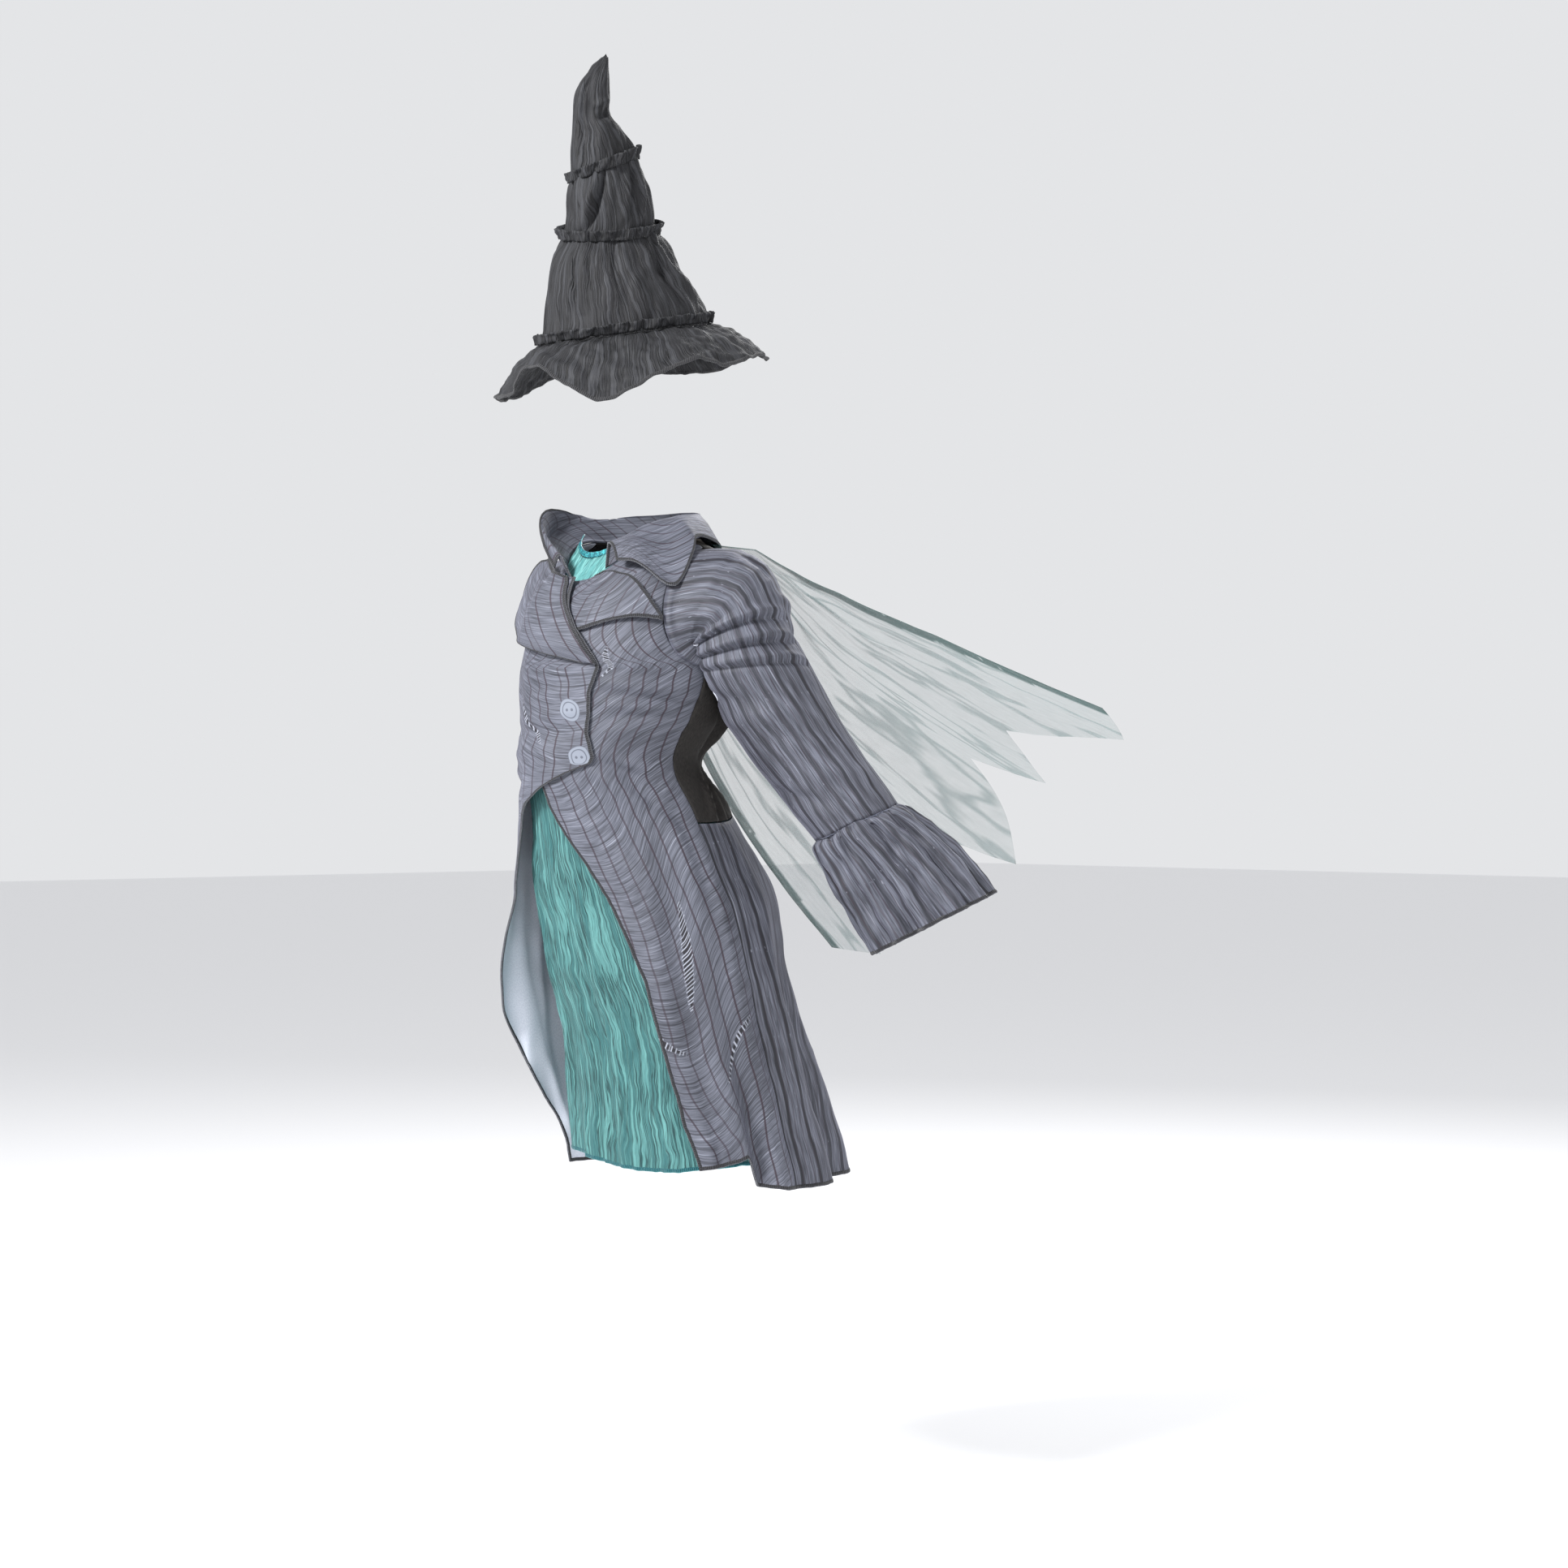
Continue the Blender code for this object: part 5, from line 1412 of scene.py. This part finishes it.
CROWN_TOP_Z = 0.3295
BAND_TOP_Z = 0.3950
HAT_TOP_Z = 0.5085
HAT_GAP = SEAM_GAP + CLOTH / 2
HAT_RIPPLES = (Ripple(0.0042, 70, 8), Ripple(0.0016, 170, 22))
HAT_CREASES = (
    Crease(-38, 0.240, -34, 0.330, 0.004, -0.0045),
    Crease(-30, 0.250, -24, 0.322, 0.005, 0.0042),
    Crease(4, 0.270, 8, 0.335, 0.004, -0.0042),
    Crease(20, 0.240, 14, 0.320, 0.004, 0.0032),
    Crease(52, 0.236, 44, 0.330, 0.004, -0.0037),
    Crease(76, 0.236, 60, 0.318, 0.006, 0.0045),
    Crease(84, 0.240, 70, 0.322, 0.004, -0.0045),
    Crease(120, 0.240, 112, 0.330, 0.006, -0.0037),
    Crease(160, 0.240, 150, 0.320, 0.006, 0.0037),
    Crease(-80, 0.236, -74, 0.320, 0.005, 0.0037),
    Crease(-120, 0.240, -110, 0.330, 0.006, -0.0040),
    Crease(-160, 0.240, -154, 0.316, 0.006, 0.0037),
    Crease(-40, 0.334, -2, 0.398, 0.006, 0.0063),
    Crease(-30, 0.334, 8, 0.392, 0.0035, -0.0063),
    Crease(-64, 0.346, -60, 0.390, 0.005, -0.0042),
    Crease(60, 0.400, 20, 0.334, 0.004, -0.0030),
    Crease(76, 0.396, 44, 0.338, 0.004, 0.0030),
    Crease(-46, 0.400, -40, 0.500, 0.004, 0.0037),
    Crease(-30, 0.404, -34, 0.480, 0.003, -0.0032),
    Crease(120, 0.405, 110, 0.480, 0.004, -0.0030),
    Crease(10, 0.442, 70, 0.452, 0.004, -0.0050),
    Crease(0, 0.456, 80, 0.464, 0.004, 0.0032),
)
HAT_SCALE = (0.0011, 1)


def hat_point(z, angle, out=0.0, rise_by=0.0):
    """A point on the hat's ring at a height; angle 0 faces where the head is turned."""
    ring = between(HAT, z)
    turn = math.radians(angle)
    across = ring.across + (ring.radius + out) * math.sin(turn)
    ahead = ring.ahead + (ring.radius + out) * math.cos(turn)
    raised_side = (ring.radius + out) * math.sin(turn) * math.tan(math.radians(ring.side_tilt))
    lowered_front = (ring.radius + out) * math.cos(turn) * math.tan(math.radians(ring.front_tilt))
    return Vector((
        across * math.cos(VIEW_TURN) + ahead * math.sin(VIEW_TURN),
        across * math.sin(VIEW_TURN) - ahead * math.cos(VIEW_TURN),
        z + raised_side - lowered_front + rise_by,
    ))


def hat_tube(node, low, high, columns, rows):
    cloth_shell(
        node, lambda across, along: hat_point(low + (high - low) * along, 360 * across), columns, rows,
        charcoal, "hat_cloth", tube=True, ripples=HAT_RIPPLES, creases=HAT_CREASES,
        chart=lambda across, along: (360 * across, low + (high - low) * along), scale=HAT_SCALE,
    )


hat_tube("hat_crown", BRIM_SEAM_Z + HAT_GAP, CROWN_TOP_Z, 200, 60)
hat_tube("hat_upper_band", CROWN_TOP_Z + HAT_GAP, BAND_TOP_Z, 150, 40)
hat_tube("hat_tip", BAND_TOP_Z + HAT_GAP, HAT_TOP_Z, 96, 80)

# %% [markdown]
# A frill is a narrow strip gathered to about half its length. Its lower edge is sewn flat, and its
# free edge waves in and out.

# %% Frills
Frill = namedtuple("Frill", "node z waves up down")
FRILLS = (
    Frill("hat_frill_brim", BRIM_SEAM_Z + 0.005, 32, 0.008, 0.002),
    Frill("hat_frill_middle", CROWN_TOP_Z, 20, 0.0085, 0.0030),
    Frill("hat_frill_top", BAND_TOP_Z, 14, 0.0085, 0.0030),
)
FRILL_WAVE = 0.0017
FRILL_FLARE = 0.0060
POINTS_PER_WAVE = 15


def frill_place(frill):
    def place(across, along):
        angle = 360 * across
        wave = FRILL_WAVE * math.sin(math.radians(frill.waves * angle))
        seam = hat_point(frill.z - frill.down, angle, CLOTH + SEAM_GAP + SEAT)
        return seam.lerp(hat_point(frill.z, angle, FRILL_FLARE + wave, frill.up), along)
    return place


for frill in FRILLS:
    cloth_shell(
        frill.node, frill_place(frill), POINTS_PER_WAVE * frill.waves, 6, charcoal, "hat_cloth", tube=True,
        held="gathered", ripples=(Ripple(0.0050, 130, 60), Ripple(0.0020, 300, 200)),
    )

# %% [markdown]
# The brim is a ring that reaches out from the crown's seam and drops more steeply towards its edge.
# How far it reaches and drops changes round the head, which gives its waves.

# %% Brim
BrimSection = namedtuple("BrimSection", "angle reach drop")
BRIM = (
    BrimSection(-180, 0.050, 0.040),
    BrimSection(-158, 0.051, 0.022),
    BrimSection(-130, 0.048, 0.044),
    BrimSection(-108, 0.046, 0.050),
    BrimSection(-84, 0.044, 0.046),
    BrimSection(-62, 0.042, 0.046),
    BrimSection(-44, 0.044, 0.018),
    BrimSection(-22, 0.046, 0.044),
    BrimSection(-6, 0.045, 0.064),
    BrimSection(16, 0.049, 0.046),
    BrimSection(34, 0.052, 0.036),
    BrimSection(50, 0.056, 0.046),
    BrimSection(72, 0.060, 0.040),
    BrimSection(92, 0.061, 0.046),
    BrimSection(112, 0.058, 0.036),
    BrimSection(140, 0.054, 0.050),
    BrimSection(180, 0.050, 0.040),
)
BRIM_SEAM_OUT = 0.0006
BRIM_STRAIGHT_SHARE = 0.35
BRIM_CURVED_SHARE = 0.65


def brim_point(across, along):
    angle = -180 + 360 * across
    section = between(BRIM, angle)
    drop = section.drop * (BRIM_STRAIGHT_SHARE * along + BRIM_CURVED_SHARE * along**2)
    return hat_point(BRIM_SEAM_Z, angle, section.reach * along + BRIM_SEAM_OUT, -drop)


brim = cloth_shell(
    "hat_brim", brim_point, 320, 36, charcoal, "hat_cloth", tube=True,
    ripples=(Ripple(0.0040, 60, 60), Ripple(0.0018, 130, 130)),
)
overlocked(brim, ("bottom",), black_thread)

# %% [markdown]
# The cape is one sheet sewn along the back of the neck. It streams out behind between its lifted left
# edge and its hanging right edge, and ends in long tatters. Its side edges are folded double, which
# a vertex attribute tells the material.

# %% Cape
CapeStation = namedtuple("CapeStation", "along left_x left_y left_z right_x right_y right_z")
CAPE = (
    CapeStation(0.00, 0.086, 0.080, 0.002, -0.070, 0.090, -0.004),
    CapeStation(0.12, 0.116, 0.118, -0.022, -0.075, 0.108, -0.070),
    CapeStation(0.30, 0.143, 0.190, -0.056, -0.062, 0.114, -0.170),
    CapeStation(0.55, 0.180, 0.272, -0.091, -0.036, 0.156, -0.270),
    CapeStation(0.80, 0.222, 0.365, -0.132, -0.008, 0.204, -0.350),
    CapeStation(1.00, 0.262, 0.446, -0.166, 0.018, 0.250, -0.415),
)
Tatter = namedtuple("Tatter", "across reach")
TATTERS = (
    Tatter(0.00, 0.97),
    Tatter(0.08, 1.05),
    Tatter(0.15, 0.94),
    Tatter(0.20, 0.84),
    Tatter(0.29, 1.02),
    Tatter(0.36, 0.82),
    Tatter(0.53, 1.13),
    Tatter(0.61, 0.90),
    Tatter(0.71, 1.12),
    Tatter(0.80, 0.92),
    Tatter(0.91, 1.12),
    Tatter(1.00, 1.02),
)
CAPE_SEAM_LEVEL = 0.026
CAPE_SEAM_HEIGHT = 0.0030
CAPE_SEAM_LEFT = 116
CAPE_SEAM_RIGHT = 240
CAPE_SAG = 0.030
CAPE_WAVES = 3
CAPE_WAVE = 0.012
DOUBLED_WIDTH = 0.010
CAPE_CREASES = (
    Crease(0.10, 0.08, 0.16, 0.50, 0.007, 0.0050),
    Crease(0.13, 0.08, 0.20, 0.46, 0.005, -0.0050),
    Crease(0.26, 0.05, 0.34, 0.60, 0.010, 0.0060),
    Crease(0.42, 0.05, 0.44, 0.42, 0.006, -0.0050),
    Crease(0.55, 0.08, 0.56, 0.80, 0.009, 0.0060),
    Crease(0.70, 0.05, 0.72, 0.55, 0.007, -0.0050),
    Crease(0.86, 0.10, 0.84, 0.90, 0.008, 0.0060),
)
CAPE_EDGES = numbered(TATTERS)


def cape_station(reach):
    """The two edges at a reach, run straight on past the last station."""
    inside = between(CAPE, min(reach, 1.0))
    last, near_end = CAPE[-1], CAPE[-2]
    beyond = max(reach - 1.0, 0.0) / (last.along - near_end.along)
    values = [a + (b - c) * beyond for a, b, c in zip(inside[1:], last[1:], near_end[1:])]
    return Vector(values[:3]), Vector(values[3:])


def cape_point(across, along):
    tatter = straight(CAPE_EDGES, across * (len(CAPE_EDGES) - 1))
    if along == 0:
        sewn = CAPE_SEAM_LEFT + (CAPE_SEAM_RIGHT - CAPE_SEAM_LEFT) * tatter.across
        return raised(coat, sewn, CAPE_SEAM_LEVEL, CAPE_SEAM_HEIGHT)
    reach = tatter.reach * along
    left, right = cape_station(reach)
    arch = CAPE_SAG * math.sin(math.pi * tatter.across)
    wave = CAPE_WAVE * reach * math.sin(2 * math.pi * CAPE_WAVES * tatter.across)
    return left.lerp(right, tatter.across) + Vector((wave, arch, 0))


cape = cloth_shell(
    "cape", cape_point, 154, 130, gauze, "sheer", held="hung", wall=SHEER, fanned=True,
    creases=CAPE_CREASES, chart=lambda across, along: (across, along), scale=(0.5, 0.5),
    ripples=(Ripple(0.0060, 10, 10), Ripple(0.0016, 40, 25)),
)
doubled = cape.piece.data.attributes.new("doubled", "FLOAT", "POINT")
across_cape = arc_lengths(cape.points, 1)
from_side = np.minimum(across_cape, across_cape[:, -1:] - across_cape)
rounded_points = np.round(cape.points.reshape(-1, 3), 6)
place_of = {tuple(point): place for place, point in zip(np.ndindex(from_side.shape), rounded_points)}
for vert in cape.piece.data.vertices:
    spot = place_of.get(tuple(np.round(vert.co, 6)))
    doubled.data[vert.index].value = 1.0 if spot and from_side[spot] < DOUBLED_WIDTH else 0.0

# %% [markdown]
# A plain pale floor and soft light from large lamps: a key from the camera's left, a weaker fill from
# its right, and one from behind that lifts the edges of the dark cloth.

# %% Floor and light
FLOOR_HALF = 20
FLOOR_COLOUR = (0.85, 0.85, 0.86, 1)
LIGHT_AIM = Vector((0, 0, -0.15))


def plain_stage():
    plane = bmesh.new()
    bmesh.ops.create_grid(plane, x_segments=1, y_segments=1, size=FLOOR_HALF)
    mesh = bpy.data.meshes.new("floor")
    plane.to_mesh(mesh)
    plane.free()
    mesh.transform(Matrix.Translation((0, 0, FLOOR_HEIGHT)))
    floor = bpy.data.objects.new("floor", mesh)
    bpy.context.scene.collection.objects.link(floor)
    paint, _, shader = cloth_material("pale floor", 0.9)
    shader.inputs["Base Color"].default_value = FLOOR_COLOUR
    mesh.materials.append(paint)


def soft_light(name, turn, distance, height, size, power):
    """A square lamp at a turn round the costume from the camera, aimed at the coat."""
    lamp_data = bpy.data.lights.new(name, "AREA")
    lamp_data.size = size
    lamp_data.energy = power
    lamp = bpy.data.objects.new(name, lamp_data)
    azimuth = VIEW_TURN + math.radians(turn)
    lamp.location = (distance * math.sin(azimuth), -distance * math.cos(azimuth), height)
    aim = LIGHT_AIM - lamp.location
    lamp.rotation_euler = aim.to_track_quat("-Z", "Y").to_euler()
    bpy.context.scene.collection.objects.link(lamp)


plain_stage()
soft_light("key", -52, 2.4, 1.5, 0.7, 125)
soft_light("fill", 55, 3.2, 0.5, 2.2, 26)
soft_light("back", 160, 3.0, 1.8, 1.4, 60)
world = bpy.data.worlds.new("studio")
world.use_nodes = True
background = world.node_tree.nodes["Background"]
background.inputs["Color"].default_value = (0.97, 0.98, 1.0, 1)
background.inputs["Strength"].default_value = 0.80
bpy.context.scene.world = world
bpy.context.scene.view_settings.view_transform = "Standard"
